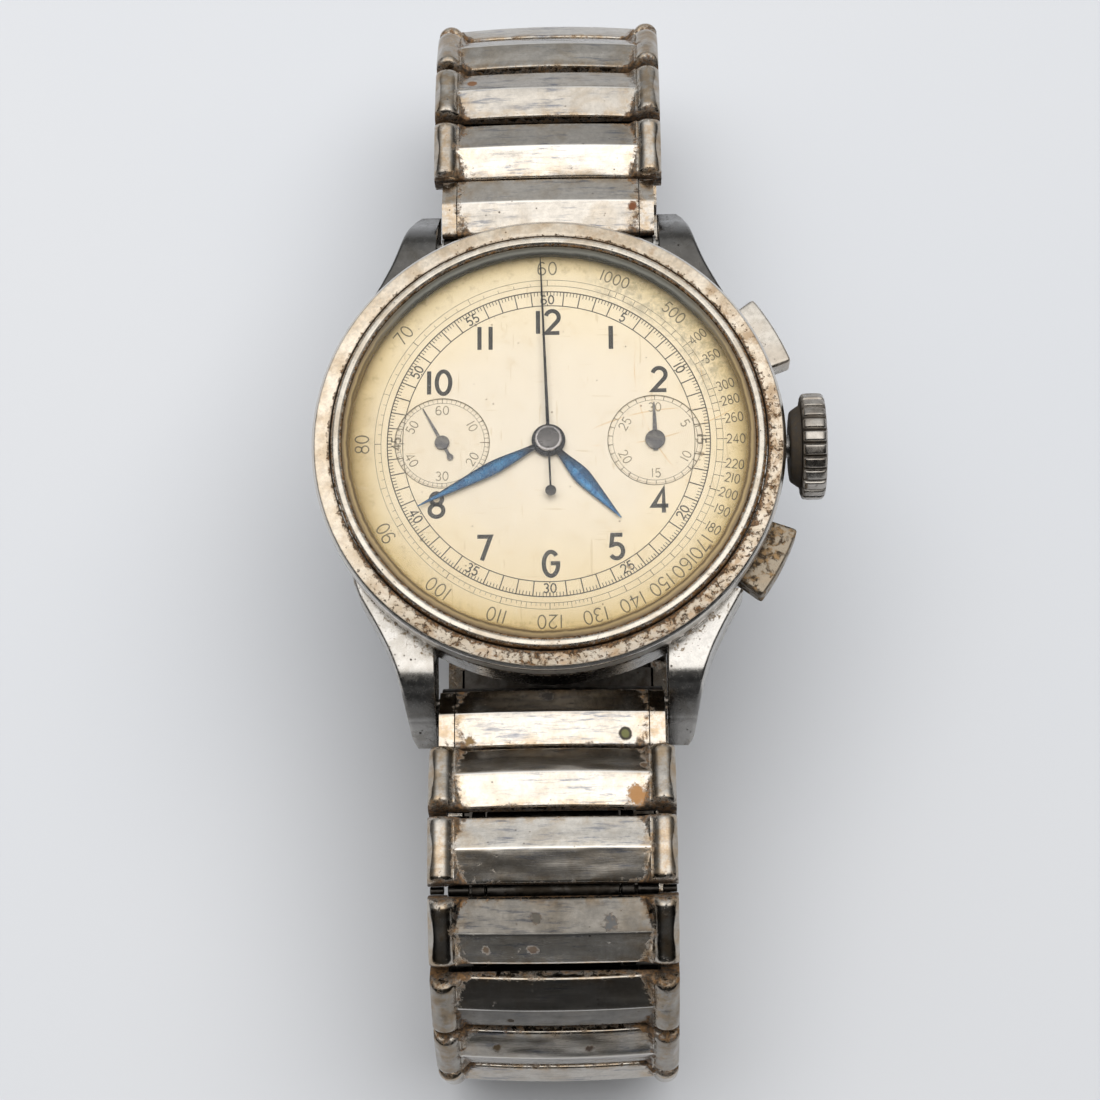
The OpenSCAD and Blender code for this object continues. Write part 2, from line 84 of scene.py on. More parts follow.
def loft(loops, cap=True, closed=False):
    """Quads between loops of equal length; each loop is closed. Ends are capped."""
    n = len(loops[0])
    verts = [p for lp in loops for p in lp]
    faces = []
    m = len(loops)
    for k in range(m if closed else m - 1):
        a, b = k * n, ((k + 1) % m) * n
        for i in range(n):
            j = (i + 1) % n
            faces.append((a + i, a + j, b + j, b + i))
    if cap and not closed:
        faces.append(tuple(range(n - 1, -1, -1)))
        faces.append(tuple(range((m - 1) * n, m * n)))
    return verts, faces


def join(parts):
    verts, faces = [], []
    for v, f in parts:
        o = len(verts)
        verts += list(v)
        faces += [tuple(i + o for i in q) for q in f]
    return verts, faces


def fillet(pts, n=5):
    """pts: (x, y, radius) corners of a closed outline; returns the rounded outline."""
    out = []
    m = len(pts)
    for i in range(m):
        p = Vector(pts[i][:2])
        r = pts[i][2] if len(pts[i]) > 2 else 0
        if r <= 0:
            out.append((p.x, p.y))
            continue
        a = (Vector(pts[i - 1][:2]) - p).normalized()
        b = (Vector(pts[(i + 1) % m][:2]) - p).normalized()
        ang = a.angle(b)
        if ang > 3.0:
            out.append((p.x, p.y))
            continue
        d = r / math.tan(ang / 2)
        c = p + (a + b).normalized() * (r / math.sin(ang / 2))
        s, e = p + a * d - c, p + b * d - c
        a0 = math.atan2(s.y, s.x)
        a1 = math.atan2(e.y, e.x)
        da = (a1 - a0 + PI) % (2 * PI) - PI
        for k in range(n + 1):
            t = a0 + da * k / n
            out.append((c.x + r * math.cos(t), c.y + r * math.sin(t)))
    return out


def lathe_vf(profile, n=160):
    """Closed outline of (r, z) turned round the Z axis."""
    loops = []
    for i in range(n):
        t = 2 * PI * i / n
        c, s = math.cos(t), math.sin(t)
        loops.append([(r * c, r * s, z) for r, z in profile])
    return loft(loops, closed=True)


def xtube(x0, x1, y, z, r, n=28, bev=0.06):
    """Solid bar along X with bevelled ends."""
    loops = []
    for x, rr in ((x0, r - bev), (x0 + bev, r), (x1 - bev, r), (x1, r - bev)):
        loops.append([(x, y + rr * math.cos(2 * PI * k / n), z + rr * math.sin(2 * PI * k / n)) for k in range(n)])
    return loft(loops)


def rbox(x0, x1, y0, y1, z0, z1, b=0.08, n=3):
    loops = []
    for x, d in ((x0, b), (x0 + b * 0.3, b * 0.3), (x0 + b, 0), (x1 - b, 0), (x1 - b * 0.3, b * 0.3), (x1, b)):
        o = fillet([(y0 + d, z0 + d, b), (y1 - d, z0 + d, b), (y1 - d, z1 - d, b), (y0 + d, z1 - d, b)], n)
        loops.append([(x, p[0], p[1]) for p in o])
    return loft(loops)


def evaluated(ob):
    dg = bpy.context.evaluated_depsgraph_get()
    me = bpy.data.meshes.new_from_object(ob.evaluated_get(dg))
    return me


def boolean(ob, others, op):
    for o in others:
        md = ob.modifiers.new("b", "BOOLEAN")
        md.operation = op
        md.solver = "EXACT"
        md.object = o
    bpy.context.view_layer.update()
    me = evaluated(ob)
    old = ob.data
    ob.modifiers.clear()
    ob.data = me
    bpy.data.meshes.remove(old)
    for o in others:
        d = o.data
        bpy.data.objects.remove(o)
        bpy.data.meshes.remove(d)
    bm = bmesh.new()
    bm.from_mesh(me)
    bmesh.ops.remove_doubles(bm, verts=bm.verts, dist=1e-6)
    bmesh.ops.dissolve_degenerate(bm, edges=bm.edges, dist=1e-6)
    bmesh.ops.recalc_face_normals(bm, faces=bm.faces)
    bm.to_mesh(me)
    bm.free()
    me.polygons.foreach_set("use_smooth", [True] * len(me.polygons))
    me.set_sharp_from_angle(angle=rad(30))
    return ob


def put(ob, body, mat, slot, *nodes):
    ob.data.materials.clear()
    ob.data.materials.append(mat)
    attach(ob, body)
    if nodes:
        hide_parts(*nodes)
    return ob


# --------------------------------------------------------------- materials
class Mat:
    def __init__(self, name):
        self.m = bpy.data.materials.new(name)
        self.m.use_nodes = True
        self.t = self.m.node_tree
        self.t.nodes.clear()
        self.out = self.t.nodes.new("ShaderNodeOutputMaterial")
        self.p = self.t.nodes.new("ShaderNodeBsdfPrincipled")
        self.t.links.new(self.p.outputs[0], self.out.inputs[0])

    def put(self, sock, v):
        if v is None:
            return
        if isinstance(v, bpy.types.NodeSocket):
            self.t.links.new(v, sock)
            return
        if isinstance(v, (tuple, list)) and sock.type == "RGBA" and len(v) == 3:
            v = (*v, 1)
        sock.default_value = v

    def set(self, name, v):
        self.put(self.p.inputs[name], v)

    def math(self, op, a, b=None, c=None, clamp=False):
        n = self.t.nodes.new("ShaderNodeMath")
        n.operation = op
        n.use_clamp = clamp
        self.put(n.inputs[0], a)
        self.put(n.inputs[1], b)
        self.put(n.inputs[2], c)
        return n.outputs[0]

    def vec(self, op, a, b=None, scale=None):
        n = self.t.nodes.new("ShaderNodeVectorMath")
        n.operation = op
        self.put(n.inputs[0], a)
        if b is not None:
            self.put(n.inputs[1], b)
        if scale is not None:
            self.put(n.inputs[3], scale)
        return n.outputs["Value"] if op in ("LENGTH", "DISTANCE", "DOT_PRODUCT") else n.outputs[0]

    def sep(self, v):
        n = self.t.nodes.new("ShaderNodeSeparateXYZ")
        self.put(n.inputs[0], v)
        return n.outputs

    def comb(self, x, y, z):
        n = self.t.nodes.new("ShaderNodeCombineXYZ")
        self.put(n.inputs[0], x)
        self.put(n.inputs[1], y)
        self.put(n.inputs[2], z)
        return n.outputs[0]

    def mm(self):
        """Object coordinates in millimetres, in the object's own frame."""
        n = self.t.nodes.new("ShaderNodeTexCoord")
        return self.vec("SCALE", n.outputs["Object"], scale=1000.0)

    def attr(self, name):
        n = self.t.nodes.new("ShaderNodeAttribute")
        n.attribute_name = name
        return n

    def noise(self, v, scale, detail=4.0, rough=0.55, dist=0.0):
        n = self.t.nodes.new("ShaderNodeTexNoise")
        self.put(n.inputs["Vector"], v)
        n.inputs["Scale"].default_value = scale
        n.inputs["Detail"].default_value = detail
        n.inputs["Roughness"].default_value = rough
        n.inputs["Distortion"].default_value = dist
        return n.outputs[0]

    def voro(self, v, scale, rand=1.0, feature="F1"):
        n = self.t.nodes.new("ShaderNodeTexVoronoi")
        n.feature = feature
        self.put(n.inputs["Vector"], v)
        n.inputs["Scale"].default_value = scale
        n.inputs["Randomness"].default_value = rand
        return n.outputs["Distance"]

    def ramp(self, f, stops, interp="LINEAR"):
        n = self.t.nodes.new("ShaderNodeValToRGB")
        n.color_ramp.interpolation = interp
        e = n.color_ramp.elements
        while len(e) < len(stops):
            e.new(0.5)
        for k, (pos, col) in enumerate(stops):
            e[k].position = pos
            e[k].color = (col, col, col, 1) if isinstance(col, (int, float)) else (*col, 1)
        self.put(n.inputs[0], f)
        return n.outputs[0]

    def mix(self, f, a, b, blend="MIX"):
        n = self.t.nodes.new("ShaderNodeMix")
        n.data_type = "RGBA"
        n.blend_type = blend
        n.clamp_factor = True
        self.put(n.inputs[0], f)
        self.put(n.inputs[6], a)
        self.put(n.inputs[7], b)
        return n.outputs[2]

    def mr(self, v, a, b, c=0.0, d=1.0, smooth=True):
        n = self.t.nodes.new("ShaderNodeMapRange")
        n.interpolation_type = "SMOOTHSTEP" if smooth else "LINEAR"
        n.clamp = True
        self.put(n.inputs["Value"], v)
        for key, x in (("From Min", a), ("From Max", b), ("To Min", c), ("To Max", d)):
            self.put(n.inputs[key], x)
        return n.outputs[0]

    def bump(self, h, strength, dist, normal=None):
        n = self.t.nodes.new("ShaderNodeBump")
        n.inputs["Strength"].default_value = strength
        n.inputs["Distance"].default_value = dist
        self.put(n.inputs["Height"], h)
        if normal is not None:
            self.put(n.inputs["Normal"], normal)
        return n.outputs[0]


def steel(name, col=(0.60, 0.57, 0.53), rough=0.2, tarnish=(0.36, 0.29, 0.22), t_amt=0.5, pits=0.35,
          pit_scale=1.5, scratch=0.35, grain=(0.5, 9.0, 9.0), mottling=0.25, dirt=None, bump_s=0.35, v=None,
          radial=False, pit_col=(0.045, 0.028, 0.018), shade=None):
    """Worn steel: tarnish clouds, fine mottling, pits, and scratches that follow the grain."""
    M = Mat(name)
    co = M.mm() if v is None else v(M)
    cloud = M.noise(co, 0.32, 5, 0.6, 0.6)
    fine = M.noise(co, 2.1, 6, 0.65, 0.3)
    tf = M.math("MULTIPLY", M.mr(cloud, 0.44, 0.66), t_amt)
    base = M.mix(tf, col, tarnish)
    low = M.mr(fine, 0.30, 0.72, 1.0 - mottling, 1.0 + mottling * 0.25)
    base = M.mix(1.0, base, M.comb(low, low, low), "MULTIPLY")
    if radial:
        x, y, z = M.sep(co)[0:3]
        r = M.math("POWER", M.math("ADD", M.math("MULTIPLY", x, x), M.math("MULTIPLY", y, y)), 0.5)
        ang = M.math("ARCTAN2", y, x)
        gco = M.comb(M.math("MULTIPLY", r, 9.0), M.math("MULTIPLY", ang, 3.0), M.math("MULTIPLY", z, 9.0))
        scr = M.noise(gco, 1.0, 3, 0.6)
    else:
        gco = M.vec("MULTIPLY", co, grain)
        scr = M.noise(gco, 1.0, 4, 0.62)
    gco2 = M.vec("MULTIPLY", M.vec("ADD", co, (3.1, 7.7, 1.3)), (3.5, 0.55, 2.0))
    scr2 = M.noise(gco2, 1.0, 2, 0.5, 0.4)
    lines = M.mr(scr2, 0.655, 0.70)
    vor = M.voro(co, pit_scale)
    gate = M.mr(M.noise(M.vec("ADD", co, (11.0, 5.0, 2.0)), 0.55, 4, 0.6), 0.62 - 0.22 * pits, 0.78 - 0.2 * pits)
    jag = M.math("MULTIPLY", M.noise(co, 6.0, 3, 0.6), 0.16)
    pit = M.math("MULTIPLY", M.mr(M.math("ADD", vor, jag), 0.30, 0.17), gate)
    base = M.mix(M.math("MULTIPLY", pit, 0.92), base, pit_col)
    rg = M.math("ADD", M.mr(fine, 0.3, 0.75, rough * 0.75, rough * 1.5), M.math("MULTIPLY", tf, 0.16))
    rg = M.math("ADD", rg, M.math("MULTIPLY", pit, 0.4))
    if dirt is not None:
        mask, dcol = dirt(M, co, fine)
        base = M.mix(mask, base, dcol)
        rg = M.math("ADD", rg, M.math("MULTIPLY", mask, 0.45))
        metal = M.math("SUBTRACT", 1.0, M.math("MULTIPLY", mask, 0.88))
        M.set("Metallic", metal)
        M.set("Specular IOR Level", M.mr(mask, 0.0, 1.0, 0.5, 0.10))
    else:
        M.set("Metallic", 1.0)
    # the shade function paints light and shade into the colour
    if shade is not None:
        k = shade(M, co)
        base = M.mix(1.0, base, M.comb(k, k, k), "MULTIPLY")
    M.set("Base Color", base)
    M.set("Roughness", M.math("MINIMUM", rg, 0.9))
    h = M.math("ADD", M.math("MULTIPLY", scr, scratch), M.math("MULTIPLY", lines, -0.35 * scratch))
    h = M.math("ADD", h, M.math("MULTIPLY", pit, -1.6))
    h = M.math("ADD", h, M.math("MULTIPLY", fine, 0.35))
    M.set("Normal", M.bump(h, bump_s, 0.000022))
    return M


def simple_metal(name, col, rough, col2, scale=0.8, grain=(12.0, 12.0, 12.0), bump=0.2, metallic=1.0):
    M = Mat(name)
    co = M.mm()
    n = M.noise(co, scale, 4, 0.6)
    g = M.noise(M.vec("MULTIPLY", co, grain), 1.0, 3, 0.6)
    M.set("Base Color", M.mix(M.mr(n, 0.35, 0.7), col, col2))
    M.set("Roughness", M.mr(g, 0.3, 0.7, rough * 0.7, rough * 1.4))
    M.set("Metallic", metallic)
    M.set("Normal", M.bump(g, bump, 0.00001))
    return M.m


# dirt helpers
def crevice_r(rings, lo=0.40, hi=0.62, amt=1.0):
    """Dirt that gathers round given radii: (radius, half width)."""
    def f(M, co, fine):
        x, y, z = M.sep(co)[0:3]
        r = M.math("POWER", M.math("ADD", M.math("MULTIPLY", x, x), M.math("MULTIPLY", y, y)), 0.5)
        m = None
        for rr, w in rings:
            d = M.math("ABSOLUTE", M.math("SUBTRACT", r, rr))
            q = M.mr(d, w, 0.0)
            m = q if m is None else M.math("MAXIMUM", m, q)
        side = M.math("ADD", M.math("MULTIPLY", x, 0.020), M.math("MULTIPLY", y, -0.026))
        side = M.mr(side, -0.45, 0.50, 0.30, 1.0)
        spk = M.noise(co, 3.4, 5, 0.7, 0.5)
        s = M.math("ADD", spk, M.math("MULTIPLY", m, 0.28))
        s = M.math("ADD", s, M.math("MULTIPLY", side, 0.10))
        mask = M.math("MULTIPLY", M.mr(s, hi, hi + 0.10), amt)
        col = M.mix(M.mr(fine, 0.35, 0.65), (0.045, 0.024, 0.012), (0.21, 0.115, 0.05))
        return mask, col
    return f


# ------------------------------------------------------------------ bracelet
PITCH = 5.24
EDGE, RIDGE = 2.03, 0.84
ANG = [-17.3, -16.8, -0.8, 24.8, 52.8, 67.8, 92.3, 122.6, 156.2] + [180.0] * 13 + [193.9, 221.9, 259.1, 295.7, 324.8, 342.9, 357.4, 355.4]
HY, HZ = [-19.37], [8.3 - 6.48]
for a in ANG:
    HY.append(HY[-1] - PITCH * math.cos(rad(a)))
    HZ.append(HZ[-1] - PITCH * math.sin(rad(a)))


def world(i, p):
    """Point p of link i's own frame, in the row frame."""
    a = rad(ANG[i - 1])
    x, y, z = -p[0], -p[1], p[2]
    return (x, HY[i - 1] + y * math.cos(a) - z * math.sin(a), HZ[i - 1] + y * math.sin(a) + z * math.cos(a))


MID = PITCH / 2
VS = [0.0, 0.004, 0.012, 0.026, 0.045, 0.075, 0.12, 0.17, 0.225, 0.28, 0.335, 0.385, 0.425, 0.455, 0.476, 0.49, 0.5]
VS = VS + [1 - v for v in VS[-2::-1]]


def sm(t):
    t = max(0.0, min(1.0, t))
    return t * t * (3 - 2 * t)


def top_height(a, y, y0, k, w0):
    """Height of a link's upper face at |x| = a. k switches on the pillar and chamfer shaping; None leaves them off."""
    t = y - MID
    w = 0.10
    span = MID - 0.095
    roof = EDGE + RIDGE * (1 - (math.sqrt(t * t + w * w) - w) / (math.sqrt(span * span + w * w) - w))
    roof += 0.30 * (1 - (a / w0) ** 2) - 0.10
    h = roof
    if k is not None:
        cham = 2.0 + 1.28 * (a - 6.85)
        if a >= 7.40:
            cham = 2.704 - 0.9 * (a - 7.40)
            if a > 7.5:
                h -= 5.0 * (a - 7.5)
        s = 0.05
        h = 0.5 * (h + cham + math.sqrt((h - cham) ** 2 + s * s))
        if a > 7.42:
            q = (a - 8.42) / 1.02
            e = 2.16 + 0.95 * math.sqrt(max(0.0, 1 - q * q)) if abs(q) < 1 else 1.2
            cut = 3.0 - 1.15 * (a - 8.92 - 0.34 * (t / MID) ** 2)
            e = min(e, cut)
            h = 0.5 * (h + e + math.sqrt((h - e) ** 2 + 0.003))
    rr = 0.13 if a < 6.9 or k is None else 0.13 + 0.42 * sm((a - 6.9) / 0.8)
    d = min(y - y0, PITCH - y0 - y)
    if d < rr:
        h -= (rr - math.sqrt(max(0.0, rr * rr - (rr - d) ** 2))) * (1.0 if a < 7.4 else 1.25)
    return h


def link_part(i, xs, pillar, skirt, w0):
    """Closed shell of a link between the stations xs."""
    loops = []
    for x in xs:
        a = abs(x)
        y0 = 0.095 - (0.045 * sm((a - 7.2) / 0.4) if pillar else 0)
        lo = []
        tops = []
        for v in VS:
            y = y0 + (PITCH - 2 * y0) * v
            tops.append((y, top_height(a, y, y0, 1 if pillar else None, w0)))
        e = tops[0][1]
        deep = skirt(a)
        if deep:
            left = [(MID, -0.4), (1.1, -0.4), (0.55, -0.38), (0.36, -0.1), (0.16, 0.8), (y0 + 0.01, 1.5), (y0, e - 0.08)]
        else:
            left = [(MID, 1.2), (1.1, 1.2), (0.5, 1.22), (0.25, 1.25), (0.14, 1.35), (y0 + 0.01, 1.55), (y0, e - 0.08)]
        right = [(PITCH - q[0], q[1]) for q in left[::-1]][:-1]
        ring = left + tops + right
        # the open joint at the far side of the bracelet swings the most: those two ends are cut back
        ya, yb = (0.17 if i == 17 else 0.0), (0.17 if i == 16 else 0.0)
        if ya or yb:
            ring = [(y0 + ya + (q[0] - y0) * (PITCH - 2 * y0 - ya - yb) / (PITCH - 2 * y0), q[1]) for q in ring]
        loops.append([(x, q[0], q[1]) for q in ring])
    v, f = loft(loops)
    return v, f


def lin(a, b, n):
    return [a + (b - a) * k / n for k in range(n + 1)]


# painted reflected light: how bright each link's metal is painted: facet nearer its own start, far facet, end pillars
PAINTED_FACET_LIGHTS = {1: (0.60, 1.0, 1), 2: (0.88, 1.02, 0.75), 3: (1.04, 0.84, 0.75), 4: (0.24, 1.45, 0.75), 5: (0.88, 0.20, 0.50), 6: (0.66, 0.55, 0.50),
        30: (0.92, 0.80, 1), 29: (0.74, 1.10, 0.8), 28: (0.68, 0.80, 0.7), 27: (0.56, 0.70, 0.65)}


def link_obj(name, i, kind):
    if kind == "link":
        side = lin(6.5, 7.3, 10) + lin(7.36, 8.0, 9) + [8.02] + lin(8.09, 9.22, 15) + [9.28, 9.33, 9.37, 9.395]
        xs = [-x for x in side[::-1]] + lin(-6.0, 6.0, 24) + side
        v, f = link_part(i, xs, True, lambda a: a > 8.01, 7.2)
        parts = [(v, f)]
    else:
        xs = [-7.44, -7.42, -7.36] + lin(-7.0, 7.0, 24) + [7.36, 7.42, 7.44]
        parts = [link_part(i, xs, False, lambda a: False, 8.7)]
        for s in (-1, 1):
            c = [7.52, 7.54, 7.60] + lin(7.75, 8.45, 4) + [8.58, 8.64, 8.67, 8.69]
            c = c if s > 0 else [-x for x in c[::-1]]
            parts.append(link_part(i, c, False, lambda a: False, 8.7))
    v, f = join(parts)
    wv = [world(i, p) for p in v]
    # painted light: each facet gets a brightness factor standing in for the light it reflects
    tu, tl, tp = PAINTED_FACET_LIGHTS.get(i, (0.8, 0.8, 0.8))
    painted_facet_light = [tp + (1 - sm((abs(p[0]) - 7.35) / 0.2)) * ((tu if p[1] < MID else tl) - tp) if kind == "link" else (tu if p[1] < MID else tl) for p in v]
    ob = add_mesh(name, wv, f, {"loc": [tuple(p) for p in v], "lid": [float(i)] * len(v), "painted_facet_light": painted_facet_light}, angle=24)
    return ob


def inner_obj(name, i, kind):
    """The plate, tongues, pins and barrels under a link's roof."""
    ps = []
    if kind == "link":
        ps.append(rbox(-8.28, 8.28, 1.0, 4.2, -0.4, -0.05, 0.07))
        ps.append(rbox(-8.28, 8.28, 1.35, 3.9, -0.05, 0.12, 0.05))
        ps.append(xtube(-5.0, 5.0, 0, 0, 0.75))
        ps.append(rbox(-4.9, 4.9, 0.2, 1.3, -0.4, 0.1, 0.05))
        ps.append(xtube(-5.8, -5.03, PITCH, 0, 0.37))
        ps.append(xtube(5.03, 5.8, PITCH, 0, 0.37))
        ps.append(xtube(-9.32, -8.25, 0, 0.02, 0.30, 20, 0.05))
        ps.append(xtube(8.25, 9.32, 0, 0.02, 0.30, 20, 0.05))
        ps.append(xtube(-7.95, -6.35, 0, 0, 0.46, 24, 0.05))
        ps.append(xtube(6.35, 7.95, 0, 0, 0.46, 24, 0.05))
        for s in (-1, 1):
            a, b = sorted((s * 5.15, s * 6.15))
            ps.append(xtube(a, b, PITCH, 0, 0.68))
            ps.append(rbox(a, b, 4.0, PITCH - 0.1, -0.4, 0.1, 0.05))
            ps.append(rbox(min(s * 6.3, s * 8.2), max(s * 6.3, s * 8.2), 0.55, 4.7, 0.35, 1.3, 0.08))
    else:
        first = i == 1
        ps.append(rbox(-8.5, 8.5, 1.0, 4.2, -0.4, -0.05, 0.07))
        yb = 0 if first else PITCH
        yt = 0 if not first else None
        ps.append(xtube(-8.6, 8.6, yb, 0, 1.19, 40))
        q = (0.5, 1.5) if first else (PITCH - 1.5, PITCH - 0.5)
        ps.append(rbox(-8.55, 8.55, q[0], q[1], -0.4, 1.1, 0.08))
        for s in (-1, 1):
            ps.append(rbox(min(s * 8.1, s * 8.6), max(s * 8.1, s * 8.6), 1.45, PITCH - 1.45, -0.4, 1.4, 0.08))
        if first:
            ps.append(xtube(-5.8, 5.8, PITCH, 0, 0.37))
            for s in (-1, 1):
                a, b = sorted((s * 5.15, s * 6.15))
                ps.append(xtube(a, b, PITCH, 0, 0.68))
                ps.append(rbox(a, b, 4.0, PITCH - 0.1, -0.4, 0.1, 0.05))
        else:
            ps.append(xtube(-5.0, 5.0, yt, 0, 0.75))
            ps.append(rbox(-4.9, 4.9, 0.2, 1.3, -0.4, 0.1, 0.05))
    v, f = join(ps)
    return add_mesh(name, [world(i, p) for p in v], f, {"loc": [tuple(p) for p in v], "lid": [float(i)] * len(v)}, angle=35)


def link_coords(M):
    lid = M.attr("lid").outputs["Fac"]
    loc = M.attr("loc").outputs["Vector"]
    off = M.comb(M.math("MULTIPLY", lid, 13.73), M.math("MULTIPLY", lid, 7.31), M.math("MULTIPLY", lid, 3.17))
    return M.vec("ADD", loc, off)


# (link, x, y, radius, colour, softness) of single stains in a link's own frame
SPOTS = [(1, -5.62, 4.30, 0.50, (0.020, 0.016, 0.008), 0.10), (1, -5.62, 4.30, 0.30, (0.115, 0.120, 0.032), 0.10),
         (28, 6.3, 1.55, 0.42, (0.17, 0.075, 0.028), 0.15), (2, -6.45, 4.30, 0.72, (0.36, 0.175, 0.055), 0.75),
         (1, 6.3, 4.75, 0.34, (0.20, 0.12, 0.04), 0.6), (30, -6.95, 3.1, 0.36, (0.16, 0.05, 0.015), 0.3),
         (4, 1.6, 3.9, 0.36, (0.12, 0.078, 0.050), 0.45), (4, 5.1, 3.95, 0.30, (0.13, 0.085, 0.05), 0.45),
         (2, -7.0, 1.9, 0.28, (0.07, 0.04, 0.02), 0.3), (5, 3.4, 4.2, 0.28, (0.05, 0.035, 0.02), 0.4),
         (6, -2.5, 1.7, 0.3, (0.06, 0.04, 0.03), 0.4), (6, 4.6, 1.6, 0.3, (0.07, 0.045, 0.02), 0.4),
         (4, 1.3, 1.5, 0.34, (0.10, 0.09, 0.075), 0.7), (4, -4.3, 1.9, 0.45, (0.11, 0.11, 0.11), 0.9),
         (1, 0.4, 0.9, 0.5, (0.03, 0.026, 0.022), 0.7)]


def bracelet_dirt(M, co, fine):
    loc = M.attr("loc").outputs["Vector"]
    lid = M.attr("lid").outputs["Fac"]
    x, y, z = M.sep(loc)[0:3]
    ax = M.math("ABSOLUTE", x)
    t = M.math("ABSOLUTE", M.math("SUBTRACT", y, MID))
    edge = M.mr(t, 2.0, 2.62)
    crease = M.math("SUBTRACT", 7.52, M.math("MULTIPLY", t, 0.26))
    cd = M.math("ABSOLUTE", M.math("SUBTRACT", ax, crease))
    cm = M.mr(cd, 0.75, 0.0)
    corner = M.math("MULTIPLY", M.mr(ax, 5.2, 7.4), M.mr(t, 0.8, 2.5))
    deep = M.mr(z, 2.05, 1.6)
    n = M.noise(co, 1.7, 8, 0.74, 0.35)
    s = M.math("ADD", n, M.math("MULTIPLY", cm, 0.20))
    s = M.math("ADD", s, M.math("MULTIPLY", edge, 0.16))
    s = M.math("ADD", s, M.math("MULTIPLY", corner, 0.09))
    s = M.math("ADD", s, M.math("MULTIPLY", deep, 0.10))
    s = M.math("ADD", s, M.math("MULTIPLY", M.mr(M.noise(co, 0.4, 2), 0.4, 0.65), 0.05))
    mask = M.math("MULTIPLY", M.mr(s, 0.655, 0.83), 0.90)
    col = M.mix(M.mr(M.noise(co, 3.1, 5, 0.7), 0.42, 0.62), (0.030, 0.018, 0.010), (0.19, 0.098, 0.036))
    for k, sx, sy, r, c, soft in SPOTS:
        d = M.vec("DISTANCE", M.comb(x, y, 0.0), (sx, sy, 0.0))
        d = M.math("ADD", d, M.math("MULTIPLY", M.math("SUBTRACT", fine, 0.5), soft * 2.2))
        on = M.math("LESS_THAN", M.math("ABSOLUTE", M.math("SUBTRACT", lid, float(k))), 0.4)
        m = M.math("MULTIPLY", M.mr(d, r + 0.05 + soft * 0.15, r - 0.05 - soft * 0.15), on)
        col = M.mix(m, col, c)
        mask = M.math("MAXIMUM", mask, M.math("MULTIPLY", m, 0.93))
    return mask, col


